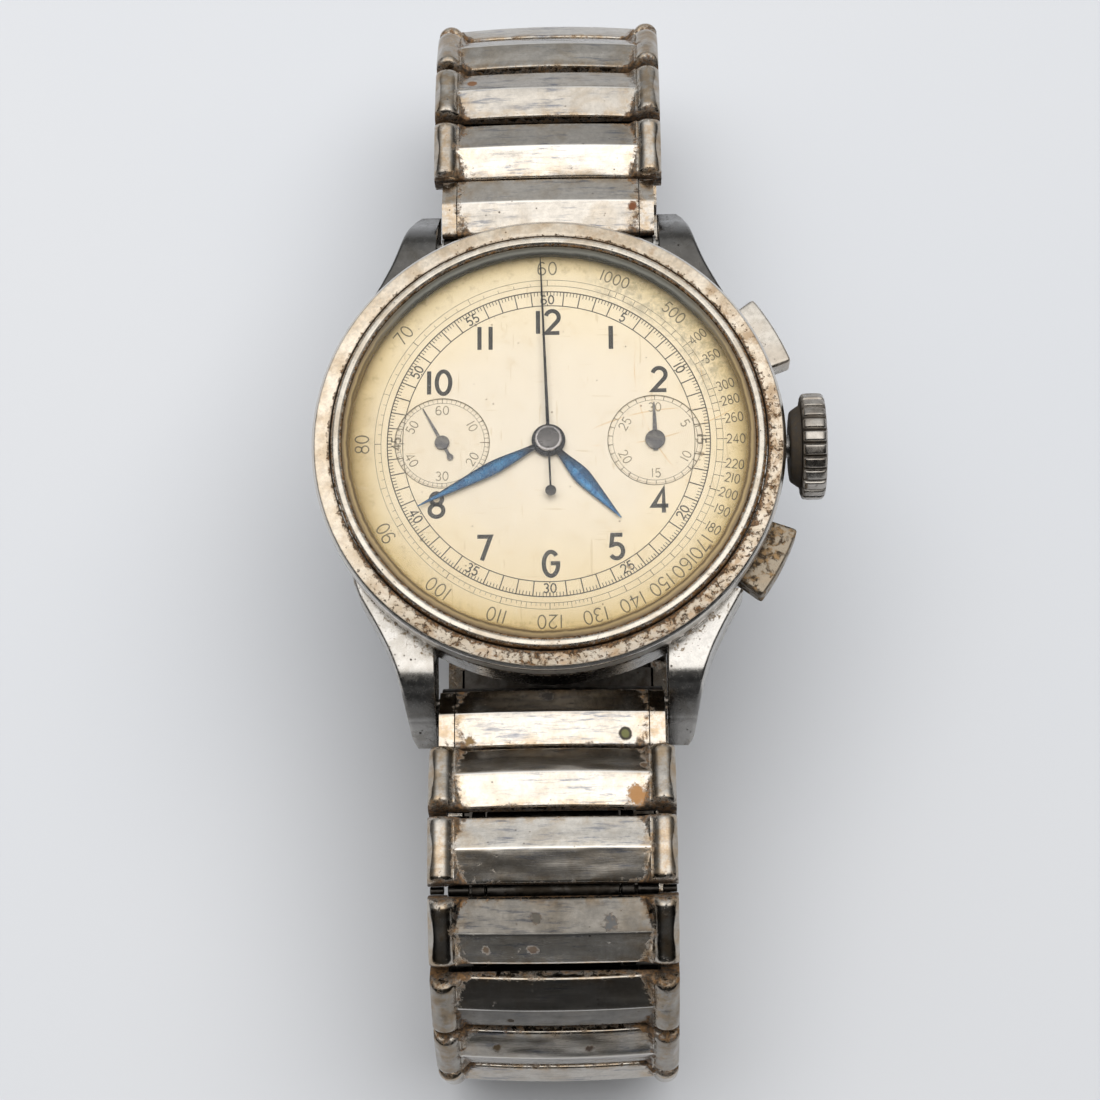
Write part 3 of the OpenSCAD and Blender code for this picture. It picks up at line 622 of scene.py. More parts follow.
def bracelet_material():
    """Polished, scratched and grimy steel, with painted facet light and a painted ridge highlight: streaks run across
    each link.
    """
    M = Mat("bracelet_worn_steel")
    co = link_coords(M)
    fine = M.noise(co, 2.4, 7, 0.7, 0.3)
    cloud = M.noise(co, 0.34, 4, 0.6, 0.5)
    streak = M.noise(M.vec("MULTIPLY", co, (0.34, 2.7, 2.7)), 1.0, 6, 0.7, 0.25)
    gate = M.mr(M.noise(M.vec("ADD", co, (4.0, 9.0, 1.0)), 0.22, 3), 0.40, 0.62)
    lx, ly, lz = M.sep(M.attr("loc").outputs["Vector"])[0:3]
    first = M.math("MULTIPLY", M.math("LESS_THAN", M.attr("lid").outputs["Fac"], 2.5), M.mr(M.math("ABSOLUTE", M.math("ADD", lx, 1.2)), 4.2, 1.0))
    gate = M.math("MAXIMUM", gate, first)
    gate = M.math("MULTIPLY", gate, M.mr(M.math("ABSOLUTE", lx), 7.6, 7.3))
    base = M.mix(M.math("MULTIPLY", M.mr(cloud, 0.42, 0.68), 0.5), (0.66, 0.625, 0.575), (0.50, 0.42, 0.32))
    base = M.mix(M.math("MULTIPLY", M.mr(streak, 0.50, 0.66), M.mr(gate, 0.0, 1.0, 0.15, 0.9)), base, (0.25, 0.265, 0.31))
    low = M.mr(fine, 0.32, 0.70, 0.86, 1.04)
    base = M.mix(1.0, base, M.comb(low, low, low), "MULTIPLY")
    # the painted facet light multiplies the colour
    painted_facet_light = M.attr("painted_facet_light").outputs["Fac"]
    tt = M.math("ADD", painted_facet_light, M.math("MULTIPLY", M.math("SUBTRACT", M.noise(co, 0.5, 5, 0.65), 0.5), 0.35))
    tt = M.math("MAXIMUM", tt, 0.15)
    base = M.mix(1.0, base, M.comb(tt, M.math("MULTIPLY", tt, 0.985), M.math("MULTIPLY", tt, 0.96)), "MULTIPLY")
    lt = M.math("ABSOLUTE", M.math("SUBTRACT", ly, MID))
    rim = M.math("MAXIMUM", M.mr(lt, 1.55, 2.55), M.mr(M.math("ABSOLUTE", lx), 5.6, 7.3))
    warm = M.math("MULTIPLY", rim, M.mr(M.noise(M.vec("ADD", co, (7.0, 1.0, 6.0)), 0.8, 6, 0.7), 0.42, 0.62))
    base = M.mix(M.math("MULTIPLY", warm, 0.62), base, M.mix(1.0, base, (0.80, 0.58, 0.33), "MULTIPLY"))
    # painted highlight: a pale line along each link's ridge
    painted_ridge_highlight = M.math("MULTIPLY", M.mr(lt, 0.11, 0.04), M.mr(M.math("ABSOLUTE", lx), 7.45, 7.3))
    base = M.mix(M.math("MULTIPLY", painted_ridge_highlight, 0.6), base, (0.86, 0.83, 0.78))
    hair = M.noise(M.vec("MULTIPLY", co, (0.55, 15.0, 15.0)), 1.0, 3, 0.6, 0.3)
    hairs = M.math("MULTIPLY", M.mr(hair, 0.62, 0.68), gate)
    base = M.mix(M.math("MULTIPLY", hairs, 0.45), base, (0.13, 0.125, 0.13))
    vor = M.voro(co, 1.3)
    pg = M.mr(M.noise(M.vec("ADD", co, (11.0, 5.0, 2.0)), 0.6, 4, 0.6), 0.50, 0.66)
    pit = M.math("MULTIPLY", M.mr(M.math("ADD", vor, M.math("MULTIPLY", fine, 0.12)), 0.19, 0.13), pg)
    base = M.mix(M.math("MULTIPLY", pit, 0.85), base, (0.05, 0.032, 0.02))
    mask, dcol = bracelet_dirt(M, co, fine)
    base = M.mix(mask, base, dcol)
    M.set("Base Color", base)
    M.set("Metallic", M.math("SUBTRACT", 1.0, M.math("MULTIPLY", mask, 0.85)))
    M.set("Specular IOR Level", M.mr(mask, 0.0, 1.0, 0.5, 0.12))
    rg = M.math("ADD", M.mr(streak, 0.35, 0.70, 0.11, 0.24), M.math("MULTIPLY", mask, 0.42))
    M.set("Roughness", M.math("ADD", rg, M.math("MULTIPLY", hairs, 0.12)))
    wave = M.noise(M.vec("MULTIPLY", M.vec("ADD", co, (1.0, 2.0, 3.0)), (0.22, 0.55, 0.55)), 1.0, 1, 0.4)
    b1 = M.bump(wave, 0.8, 0.00016)
    h = M.math("ADD", M.math("MULTIPLY", hair, 0.5), M.math("MULTIPLY", fine, 0.45))
    h = M.math("SUBTRACT", h, M.math("MULTIPLY", M.math("MAXIMUM", pit, mask), 1.3))
    M.set("Normal", M.bump(h, 0.32, 0.00002, b1))
    return M.m


M_LINK = bracelet_material()
# grimy steel, also painted near-black as the shade in the gaps under the links
M_INNER_PAINTED_DARK = steel("bracelet_inner_steel", col=(0.085, 0.078, 0.07), rough=0.36, tarnish=(0.04, 0.03, 0.02), t_amt=0.85,
                pits=0.6, scratch=0.3, mottling=0.4, v=link_coords, bump_s=0.4).m

BODIES = [("end_link_6", [1]), ("link_02", [2]), ("link_03", [3]), ("link_04", [4]), ("link_05", [5]), ("link_06", [6]),
          ("link_07", [7]), ("link_08", [8]), ("link_09", [9]), ("link_10", [10]), ("links_11_12", [11, 12]),
          ("links_13_14", [13, 14]), ("links_15_16", [15, 16]), ("links_17_18", [17, 18]), ("links_19_20", [19, 20]),
          ("links_21_22", [21, 22]), ("link_23", [23]), ("link_24", [24]), ("link_25", [25]), ("link_26", [26]),
          ("link_27", [27]), ("link_28", [28]), ("link_29", [29]), ("end_link_12", [30])]
for node, ids in BODIES:
    for i in ids:
        kind = "end" if i in (1, 30) else "link"
        ob = link_obj("bracelet_shell_%02d" % i, i, kind)
        put(ob, node, M_LINK, "bracelet_steel", node)
        ob = inner_obj("bracelet_inner_%02d" % i, i, kind)
        put(ob, node, M_INNER_PAINTED_DARK, "bracelet_steel")


# ---------------------------------------------------------------------- case
def poly_at(pts, t):
    """Monotone cubic through (t, value) points."""
    n = len(pts)
    if t <= pts[0][0]:
        return pts[0][1]
    if t >= pts[-1][0]:
        return pts[-1][1]
    d = [(pts[k + 1][1] - pts[k][1]) / (pts[k + 1][0] - pts[k][0]) for k in range(n - 1)]
    m = [d[0]] + [0 if d[k - 1] * d[k] <= 0 else 2 * d[k - 1] * d[k] / (d[k - 1] + d[k]) for k in range(1, n - 1)] + [d[-1]]
    for k in range(n - 1):
        if t <= pts[k + 1][0]:
            h = pts[k + 1][0] - pts[k][0]
            u = (t - pts[k][0]) / h
            return ((2 * u ** 3 - 3 * u * u + 1) * pts[k][1] + (u ** 3 - 2 * u * u + u) * h * m[k]
                    + (-2 * u ** 3 + 3 * u * u) * pts[k + 1][1] + (u ** 3 - u * u) * h * m[k + 1])


LUG_X = [(9.05, 15.7), (10.3, 15.4), (11.6, 14.98), (12.5, 14.5), (14.4, 13.45), (16.4, 12.48), (18.2, 11.85), (20.2, 11.4),
         (21.8, 11.08), (22.7, 10.95)]
LUG_T = [(9.0, 6.42), (15.2, 6.42), (17.0, 6.39), (17.9, 6.28), (18.5, 6.02), (19.2, 5.46), (20.0, 4.55), (20.6, 3.70), (21.0, 3.05)]
LUG_B = [(9.0, 2.6), (12.0, 2.0), (14.5, 1.45), (16.5, 0.95), (19.0, 0.40), (21.4, 0.2), (22.7, 0.3)]


def lug(sx, sy):
    y_from = 11.62 if sx > 0 else 9.2
    ys = lin(y_from, 20.75, 40) + [20.86, 20.94, 21.0] + [21.05, 21.2, 21.45, 21.75, 22.0, 22.2, 22.35, 22.5, 22.62]
    loops = []
    for y in ys:
        xo = poly_at(LUG_X, y)
        xi = 9.0 if y > 14.77 else math.sqrt(17.3 ** 2 - y * y)
        zt = poly_at(LUG_T, y) if y <= 21.0 else 3.05 - (y - 21.0) / 1.62 * 2.35
        zb = poly_at(LUG_B, y)
        if y > 22.3:
            zb += (y - 22.3) * 0.5
        zt = max(zt, zb + 0.25)
        ro = min(0.42, (zt - zb) * 0.4)
        ri = min(0.10, (zt - zb) * 0.2)
        xo -= 0.35 * max(0.0, (y - 21.6)) ** 2
        o = fillet([(xi, zb, ri), (xo, zb, min(0.5, ro * 1.1)), (xo, zt, ro * 0.8), (xi, zt, ri)], 6)
        loops.append([(p[0], y, p[1]) for p in o])
    v, f = loft(loops)
    v = [(sx * p[0], sy * p[1], p[2]) for p in v]
    return add_mesh("lug", v, f, angle=30)


band = fillet([(15.0, 1.9), (15.95, 1.9), (15.95, 0.92, 0.03), (16.9, 0.92, 0.25), (17.6, 1.4, 0.4), (18.1, 2.4, 0.5), (18.1, 6.4, 0.06),
               (18.45, 6.5, 0.08), (18.45, 7.25, 0.06), (17.6, 7.25), (17.6, 8.2), (16.35, 8.2), (16.35, 7.85), (15.0, 7.85)], 5)
v, f = lathe_vf(band, 176)
case = add_mesh("case_middle", v, f, angle=30)
boolean(case, [lug(sx, sy) for sx in (-1, 1) for sy in (-1, 1)], "UNION")
cuts = []
for s in (-1, 1):
    loops = []
    for k in range(13):
        t = rad(s * 28.5 - 9.4 + 18.8 * k / 12)
        o = fillet([(16.95, 4.5, 0.1), (20.3, 4.5, 0.1), (20.3, 6.9, 0.1), (16.95, 6.9, 0.1)], 3)
        loops.append([(p[0] * math.cos(t), p[0] * math.sin(t), p[1]) for p in o])
    v, f = loft(loops)
    cuts.append(add_mesh("cut", v, f))
    v, f = xtube(14.0, 17.4, 0, 5.7, 0.88, 24, 0.01)
    a = rad(s * 28.5)
    v = [(p[0] * math.cos(a) - p[1] * math.sin(a), p[0] * math.sin(a) + p[1] * math.cos(a), p[2]) for p in v]
    cuts.append(add_mesh("cut", v, f))
v, f = xtube(14.0, 20.0, 0, 6.1, 1.0, 32, 0.01)
cuts.append(add_mesh("cut", v, f))
for sx in (-1, 1):
    for sy in (-1, 1):
        v, f = xtube(min(sx * 8.5, sx * 10.0), max(sx * 8.5, sx * 10.0), sy * 19.37, 1.82, 0.45, 20, 0.01)
        cuts.append(add_mesh("cut", v, f))
boolean(case, cuts, "DIFFERENCE")


def case_dirt(M, co, fine):
    x, y, z = M.sep(co)[0:3]
    r = M.math("POWER", M.math("ADD", M.math("MULTIPLY", x, x), M.math("MULTIPLY", y, y)), 0.5)
    near = M.math("MULTIPLY", M.mr(r, 20.6, 18.2), M.mr(z, 5.6, 6.6))
    low = M.math("MULTIPLY", M.mr(z, 1.6, 0.4), 0.5)
    tip = M.math("MULTIPLY", M.mr(M.math("ABSOLUTE", y), 21.7, 22.3), 0.45)
    n = M.noise(co, 2.1, 6, 0.72, 0.4)
    s = M.math("ADD", n, M.math("MULTIPLY", M.math("MAXIMUM", near, M.math("MAXIMUM", low, tip)), 0.17))
    mask = M.math("MULTIPLY", M.mr(s, 0.66, 0.76), 0.9)
    col = M.mix(M.mr(fine, 0.35, 0.65), (0.035, 0.022, 0.014), (0.24, 0.16, 0.08))
    return mask, col


def case_shade(M, co):
    y = M.sep(co)[1]
    # painted shade: lugs at 12 darker, a dark band across the lugs at 6 and darker lug end faces
    k = M.mr(y, 10.0, 14.0, 1.0, 0.19)
    k = M.math("MULTIPLY", k, M.mr(M.math("ABSOLUTE", M.math("ADD", y, 20.15)), 0.55, 1.25, 0.36, 1.0))
    return M.math("MULTIPLY", k, M.mr(y, -21.08, -20.98, 0.66, 1.0))


M_CASE = steel("case_worn_steel", shade=case_shade, col=(0.58, 0.56, 0.53), rough=0.20, tarnish=(0.40, 0.36, 0.30), t_amt=0.45, pits=0.45,
               pit_scale=1.8, scratch=0.35, grain=(5.0, 5.0, 0.8), mottling=0.22, dirt=case_dirt, bump_s=0.4).m
put(case, "head", M_CASE, "case_steel", "mid_case")

# bezel: a broad matt ring with a polished rim and a brushed outer wall
prof = fillet([(17.08, 8.25, 0.05), (17.65, 8.25), (17.65, 7.29), (18.5, 7.29, 0.06), (18.52, 8.70, 0.16), (18.28, 8.98, 0.22),
               (17.4, 9.06, 0.3), (17.08, 9.0, 0.12)], 6)
v, f = lathe_vf(prof, 224)
bez = add_mesh("bezel_ring", v, f, angle=50)


def bezel_col(M, co, fine):
    mask, col = crevice_r([(17.1, 0.42), (17.35, 0.5)], hi=0.70)(M, co, fine)
    return mask, col


def bezel_material():
    M = Mat("bezel_aged_steel")
    co = M.mm()
    x, y, z = M.sep(co)[0:3]
    r = M.math("POWER", M.math("ADD", M.math("MULTIPLY", x, x), M.math("MULTIPLY", y, y)), 0.5)
    ang = M.math("ARCTAN2", y, x)
    fine = M.noise(co, 2.3, 6, 0.66, 0.4)
    cloud = M.noise(co, 0.45, 5, 0.6)
    face = M.math("MULTIPLY", M.mr(r, 18.36, 18.22), M.mr(z, 8.7, 8.9))
    matt = M.mix(M.mr(cloud, 0.36, 0.66), (0.70, 0.625, 0.52), (0.55, 0.45, 0.33))
    low = M.mr(fine, 0.30, 0.70, 0.78, 1.10)
    matt = M.mix(1.0, matt, M.comb(low, low, low), "MULTIPLY")
    # painted light: darker towards the bottom, brighter towards the sides
    painted_bezel_light = M.mr(y, -18.0, 2.0, 0.88, 1.06, False)
    painted_bezel_light = M.math("MULTIPLY", painted_bezel_light, M.mr(M.math("ABSOLUTE", x), 8.0, 17.5, 1.0, 1.30))
    matt = M.mix(1.0, matt, M.comb(painted_bezel_light, painted_bezel_light, painted_bezel_light), "MULTIPLY")
    base = M.mix(face, (0.66, 0.63, 0.59), matt)
    rust = M.mr(M.noise(M.vec("ADD", co, (6.0, 2.0, 0.0)), 0.75, 7, 0.72, 0.4), 0.47, 0.63)
    rust = M.math("MULTIPLY", M.math("MULTIPLY", rust, face), M.mr(M.math("ADD", x, M.math("MULTIPLY", y, -0.35)), -16.0, 16.0, 0.30, 0.95))
    base = M.mix(M.math("MULTIPLY", rust, 0.72), base, (0.40, 0.255, 0.135))
    seam = M.mr(M.math("ABSOLUTE", M.math("SUBTRACT", r, 17.12)), 0.42, 0.02)
    side = M.mr(M.math("ADD", M.math("MULTIPLY", x, 0.022), M.math("MULTIPLY", y, -0.034)), -0.55, 0.60, 0.0, 1.0)
    spk = M.noise(co, 2.3, 9, 0.80, 0.35)
    s = M.math("ADD", spk, M.math("MULTIPLY", seam, 0.13))
    s = M.math("ADD", s, M.math("MULTIPLY", M.math("MULTIPLY", side, face), 0.12))
    s = M.math("ADD", s, M.math("MULTIPLY", M.mr(cloud, 0.45, 0.7), 0.06))
    mask = M.math("MULTIPLY", M.mr(s, 0.640, 0.695), M.mr(face, 0.0, 1.0, 0.45, 0.92))
    dcol = M.mix(M.mr(M.noise(co, 4.0, 3), 0.40, 0.62), (0.030, 0.016, 0.008), (0.20, 0.10, 0.040))
    gap = M.mr(M.math("ABSOLUTE", M.math("SUBTRACT", r, 17.03)), 0.16, 0.08)
    dcol = M.mix(gap, dcol, (0.008, 0.005, 0.003))
    mask = M.math("MAXIMUM", mask, M.math("MULTIPLY", gap, 0.95))
    base = M.mix(mask, base, dcol)
    M.set("Base Color", base)
    M.set("Metallic", M.math("SUBTRACT", M.mr(z, 8.55, 8.35, 1.0, 0.65), M.math("MULTIPLY", mask, 0.64)))
    M.set("Specular IOR Level", M.mr(mask, 0.0, 1.0, 0.5, 0.12))
    rg = M.math("ADD", M.math("MAXIMUM", M.mr(face, 0.0, 1.0, 0.17, 0.46), M.mr(z, 8.62, 8.45, 0.0, 0.42)), M.math("MULTIPLY", M.math("SUBTRACT", fine, 0.5), 0.3))
    M.set("Roughness", M.math("ADD", rg, M.math("MULTIPLY", mask, 0.35)))
    wall = M.noise(M.comb(M.math("MULTIPLY", ang, 9.0), M.math("MULTIPLY", z, 9.0), M.math("MULTIPLY", r, 4.0)), 1.0, 4, 0.6)
    h = M.math("ADD", M.math("MULTIPLY", spk, M.mr(face, 0.0, 1.0, 0.2, 1.0)), M.math("MULTIPLY", wall, 0.35))
    h = M.math("ADD", h, M.math("MULTIPLY", mask, -0.9))
    M.set("Normal", M.bump(h, 0.5, 0.00003))
    return M.m


M_BEZEL = bezel_material()
put(bez, "head", M_BEZEL, "bezel_steel", "bezel")

# crystal's tension ring: rounded top, worn bright, black in its seam
prof = fillet([(16.17, 8.32, 0.02), (16.99, 8.32, 0.02), (16.99, 9.18, 0.16), (16.80, 9.44, 0.26), (16.42, 9.47, 0.22), (16.17, 9.30, 0.08)], 6)
v, f = lathe_vf(prof, 224)
ring = add_mesh("crystal_seat_ring", v, f, angle=60)
M_RING = steel("ring_worn_steel", col=(0.66, 0.61, 0.53), rough=0.25, tarnish=(0.50, 0.40, 0.28), t_amt=0.6, pits=0.5,
               pit_scale=2.4, scratch=0.25, mottling=0.25, dirt=crevice_r([(16.98, 0.30), (16.22, 0.16)], hi=0.70), radial=True,
               bump_s=0.45).m
put(ring, "head", M_RING, "ring_steel", "crystal_ring")

# case back: brushed, with an engraved pair of rings and wrench flats in its rim
prof = [(0.0, 0.0), (6.0, 0.0), (12.0, 0.0)] + fillet([(12.4, 0.0), (12.45, 0.06), (12.6, 0.06), (12.65, 0.0), (15.4, 0.0, 0.3), (16.4, 0.3, 0.3),
       (16.85, 0.88, 0.06), (15.9, 0.9), (15.9, 1.85, 0.05), (15.2, 1.85, 0.05), (15.2, 0.8), (0.0, 0.8)], 4)
n = 240
loops = []
for i in range(n):
    t = 2 * PI * i / n
    q = (i % 40)
    notch = 1.0 if q < 6 else 0.0
    lp = []
    for r, z in prof:
        zz = z
        if notch and 15.05 < r < 16.87 and z < 0.85:
            zz = max(z, 0.55)
        lp.append((r * math.cos(t), r * math.sin(t), zz))
    loops.append(lp)
v, f = loft(loops, closed=True)
back = add_mesh("case_back_cover", v, f, angle=30, merge=True)
M_BACK = steel("case_back_steel_worn", col=(0.57, 0.55, 0.52), rough=0.25, tarnish=(0.40, 0.36, 0.30), t_amt=0.4, pits=0.3,
               pit_scale=1.2, scratch=0.5, grain=(0.4, 8.0, 3.0), mottling=0.2, bump_s=0.35).m
put(back, "head", M_BACK, "case_back_steel", "case_back")


# ------------------------------------------------------------------- crystal
def dome(r, r0, h):
    R = (r0 * r0 + h * h) / (2 * h)
    return math.sqrt(R * R - r * r) - R + h


outer = [(16.13 * math.sin(k / 36 * PI / 2), 0) for k in range(37)]
prof = [(16.12, 8.35), (16.13, 8.9)]
for k in range(36, -1, -1):
    r = 16.13 * math.sin(k / 36 * PI / 2)
    prof.append((r if k else 0.0, 9.2 + dome(r, 16.13, 2.3)))
for k in range(0, 37):
    r = 15.55 * math.sin(k / 36 * PI / 2)
    prof.append((r if k else 0.0, 8.95 + dome(r, 15.55, 1.95)))
prof += [(15.55, 8.6), (15.6, 8.35)]
v, f = lathe_vf(prof, 192)
glass = add_mesh("crystal_dome", v, f, angle=50, merge=True)


def crystal_material():
    M = Mat("aged_acrylic")
    co = M.mm()
    x, y, z = M.sep(co)[0:3]
    r = M.math("POWER", M.math("ADD", M.math("MULTIPLY", x, x), M.math("MULTIPLY", y, y)), 0.5)
    tr = M.t.nodes.new("ShaderNodeBsdfTransparent")
    M.put(tr.inputs[0], M.mix(M.mr(r, 13.5, 16.0), (0.985, 0.98, 0.965), (0.95, 0.92, 0.83)))
    gl = M.t.nodes.new("ShaderNodeBsdfGlossy")
    n1 = M.noise(M.vec("MULTIPLY", co, (6.0, 0.35, 1.0)), 1.0, 2, 0.5, 0.8)
    n2 = M.noise(M.vec("MULTIPLY", M.vec("ADD", co, (9.0, 4.0, 0.0)), (0.5, 5.0, 1.0)), 1.0, 2, 0.5, 0.8)
    scr = M.math("MAXIMUM", M.mr(n1, 0.66, 0.71), M.mr(n2, 0.68, 0.73))
    M.put(gl.inputs["Roughness"], M.mr(scr, 0.0, 1.0, 0.035, 0.2))
    nb = M.bump(scr, 0.25, 0.00001)
    M.put(gl.inputs["Normal"], nb)
    fr = M.t.nodes.new("ShaderNodeFresnel")
    fr.inputs[0].default_value = 1.45
    mx = M.t.nodes.new("ShaderNodeMixShader")
    M.put(mx.inputs[0], M.math("ADD", M.math("MULTIPLY", fr.outputs[0], 0.85), M.math("MULTIPLY", scr, 0.05)))
    M.t.links.new(tr.outputs[0], mx.inputs[1])
    M.t.links.new(gl.outputs[0], mx.inputs[2])
    # the rim, where the view passes through the thick edge: amber from the aged acrylic, with a cold grey band at 12
    # that is painted shade
    M.set("Metallic", 0.35)
    ang = M.math("ARCTAN2", x, y)
    up = M.mr(M.math("ABSOLUTE", ang), 1.25, 0.7)
    wob = M.math("MULTIPLY", M.math("SUBTRACT", M.noise(co, 0.7, 4), 0.5), 0.30)
    rr = M.math("ADD", r, wob)
    band = M.ramp(M.mr(rr, 15.2, 16.2, smooth=False), [(0.0, (0.30, 0.22, 0.10)), (0.3, (0.34, 0.23, 0.09)), (0.48, (0.10, 0.065, 0.03)),
                  (0.62, (0.42, 0.31, 0.15)), (0.8, (0.24, 0.17, 0.09)), (1.0, (0.06, 0.04, 0.025))])
    painted_shade_at_12 = M.ramp(M.mr(rr, 15.0, 16.2, smooth=False), [(0.0, (0.17, 0.165, 0.125)), (0.35, (0.06, 0.058, 0.048)), (0.6, (0.20, 0.195, 0.165)),
                  (0.8, (0.10, 0.095, 0.075)), (1.0, (0.20, 0.165, 0.12))])
    M.set("Base Color", M.mix(up, band, painted_shade_at_12))
    M.set("Roughness", 0.32)
    mx2 = M.t.nodes.new("ShaderNodeMixShader")
    fac = M.math("MULTIPLY", M.mr(rr, M.math("SUBTRACT", 15.30, M.math("MULTIPLY", up, 0.15)), 15.72), 0.80)
    M.put(mx2.inputs[0], fac)
    M.t.links.new(mx.outputs[0], mx2.inputs[1])
    M.t.links.new(M.p.outputs[0], mx2.inputs[2])
    M.t.links.new(mx2.outputs[0], M.out.inputs[0])
    return M.m


put(glass, "head", crystal_material(), "crystal", "crystal")


# ----------------------------------------------------------- crown, pushers
def crown_obj():
    cz = 6.1
    st = [(19.72, 3.40), (19.74, 3.85), (19.82, 4.06), (19.95, 4.15), (20.3, 4.19), (21.1, 4.19), (21.36, 4.15), (21.50, 4.03), (21.58, 3.86),
          (21.62, 3.60), (21.66, 3.30), (21.72, 2.7), (21.78, 2.0), (21.82, 1.3), (21.85, 0.5)]
    n = 24 * 14
    loops = []
    for x, R in st:
        depth = 0.42 if R > 3.8 else 0.42 * sm((R - 3.35) / 0.45)
        lp = []
        for i in range(n):
            u = (i % 14) / 14.0
            d = abs(u - 0.5) * 2
            g = sm((0.36 - (1 - d)) / 0.30) if (1 - d) < 0.36 else 0.0
            rr = R - depth * g
            a = 2 * PI * i / n
            lp.append((x, rr * math.cos(a), cz + rr * math.sin(a)))
        loops.append(lp)
    v, f = loft(loops)
    sh = []
    for x, R in [(18.86, 2.45), (18.9, 2.7), (19.0, 2.84), (19.35, 3.08), (19.66, 3.28), (19.70, 3.2)]:
        sh.append([(x, R * math.cos(2 * PI * k / 72), cz + R * math.sin(2 * PI * k / 72)) for k in range(72)])
    return add_mesh("crown_knob", *join([(v, f), loft(sh)]), angle=42)


def crown_dirt(M, co, fine):
    x, y, z = M.sep(co)[0:3]
    zz = M.math("SUBTRACT", z, 6.1)
    r = M.math("POWER", M.math("ADD", M.math("MULTIPLY", y, y), M.math("MULTIPLY", zz, zz)), 0.5)
    groove = M.math("MULTIPLY", M.mr(r, 4.08, 3.80), M.mr(x, 21.62, 21.50))
    shoulder = M.mr(x, 19.78, 19.70)
    mask = M.math("MULTIPLY", M.math("MAXIMUM", groove, shoulder), M.mr(fine, 0.2, 0.6, 0.80, 0.97))
    grime = M.math("MULTIPLY", M.mr(M.noise(co, 1.6, 5, 0.7), 0.60, 0.72), 0.7)
    mask = M.math("MAXIMUM", mask, grime)
    return mask, M.mix(M.mr(fine, 0.35, 0.65), (0.012, 0.009, 0.007), (0.06, 0.045, 0.03))


M_CROWN = steel("crown_steel", col=(0.47, 0.44, 0.40), rough=0.20, tarnish=(0.25, 0.21, 0.17), t_amt=0.6, pits=0.3, scratch=0.3,
                grain=(1.0, 6.0, 6.0), dirt=crown_dirt, bump_s=0.35).m
put(crown_obj(), "crown", M_CROWN, "polished_steel", "crown")


def pusher_obj(name, s):
    parts = []
    loops = []
    b = 0.20
    ts = [(-8.5, b), (-8.5 + 0.15, b * 0.45), (-8.5 + 0.4, b * 0.1)] + [(t, 0.0) for t in lin(-7.7, 7.7, 14)] + [(8.1, b * 0.1), (8.35, b * 0.45), (8.5, b)]
    for t, d in ts:
        o = fillet([(18.0, 4.6 + d, 0.1), (20.5 - d, 4.6 + d, 0.2), (20.5 - d, 6.8 - d, 0.22), (18.0, 6.8 - d, 0.1)], 5)
        a = rad(s * 28.5 + t)
        loops.append([(p[0] * math.cos(a), p[0] * math.sin(a), p[1]) for p in o])
    parts.append(loft(loops))
    a = rad(s * 28.5)
    v, f = xtube(15.9, 18.1, 0, 5.7, 0.8, 28, 0.06)
    parts.append(([(p[0] * math.cos(a) - p[1] * math.sin(a), p[0] * math.sin(a) + p[1] * math.cos(a), p[2]) for p in v], f))
    v, f = xtube(14.66, 16.0, 0, 5.7, 0.2, 18, 0.04)
    parts.append(([(p[0] * math.cos(a) - p[1] * math.sin(a), p[0] * math.sin(a) + p[1] * math.cos(a), p[2]) for p in v], f))
    return add_mesh(name, *join(parts), angle=35)


def pusher_dirt(amt):
    def f(M, co, fine):
        x, y, z = M.sep(co)[0:3]
        r = M.math("POWER", M.math("ADD", M.math("MULTIPLY", x, x), M.math("MULTIPLY", y, y)), 0.5)
        near = M.mr(r, 20.4, 18.6)
        n = M.noise(co, 1.5, 6, 0.7, 0.5)
        s = M.math("ADD", n, M.math("MULTIPLY", near, 0.10))
        mask = M.math("MULTIPLY", M.mr(s, 0.76 - amt, 0.86 - amt), 0.9)
        return mask, M.mix(M.mr(M.noise(co, 2.6, 3), 0.4, 0.62), (0.035, 0.02, 0.01), (0.30, 0.19, 0.09))
    return f


M_PUSH1 = steel("pusher_steel_upper", col=(0.60, 0.56, 0.50), rough=0.26, tarnish=(0.44, 0.36, 0.27), t_amt=0.4, pits=0.3, pit_scale=1.6,
                scratch=0.25, dirt=pusher_dirt(0.09), bump_s=0.35).m
M_PUSH2 = steel("pusher_steel_lower", col=(0.30, 0.255, 0.195), rough=0.30, tarnish=(0.42, 0.33, 0.23), t_amt=0.6, pits=0.4, pit_scale=1.6,
                scratch=0.25, dirt=pusher_dirt(0.24), bump_s=0.4).m
put(pusher_obj("start_stop_button", 1), "start_stop_pusher", M_PUSH1, "polished_steel", "start_stop_pusher")
put(pusher_obj("reset_button", -1), "reset_pusher", M_PUSH2, "polished_steel", "reset_pusher")


# --------------------------------------------------------------------- hands
def zrot(verts, a, cx=0.0):
    a = rad(a)
    c, s = math.cos(a), math.sin(a)
    return [(cx + p[0] * c - p[1] * s, p[0] * s + p[1] * c, p[2]) for p in verts]


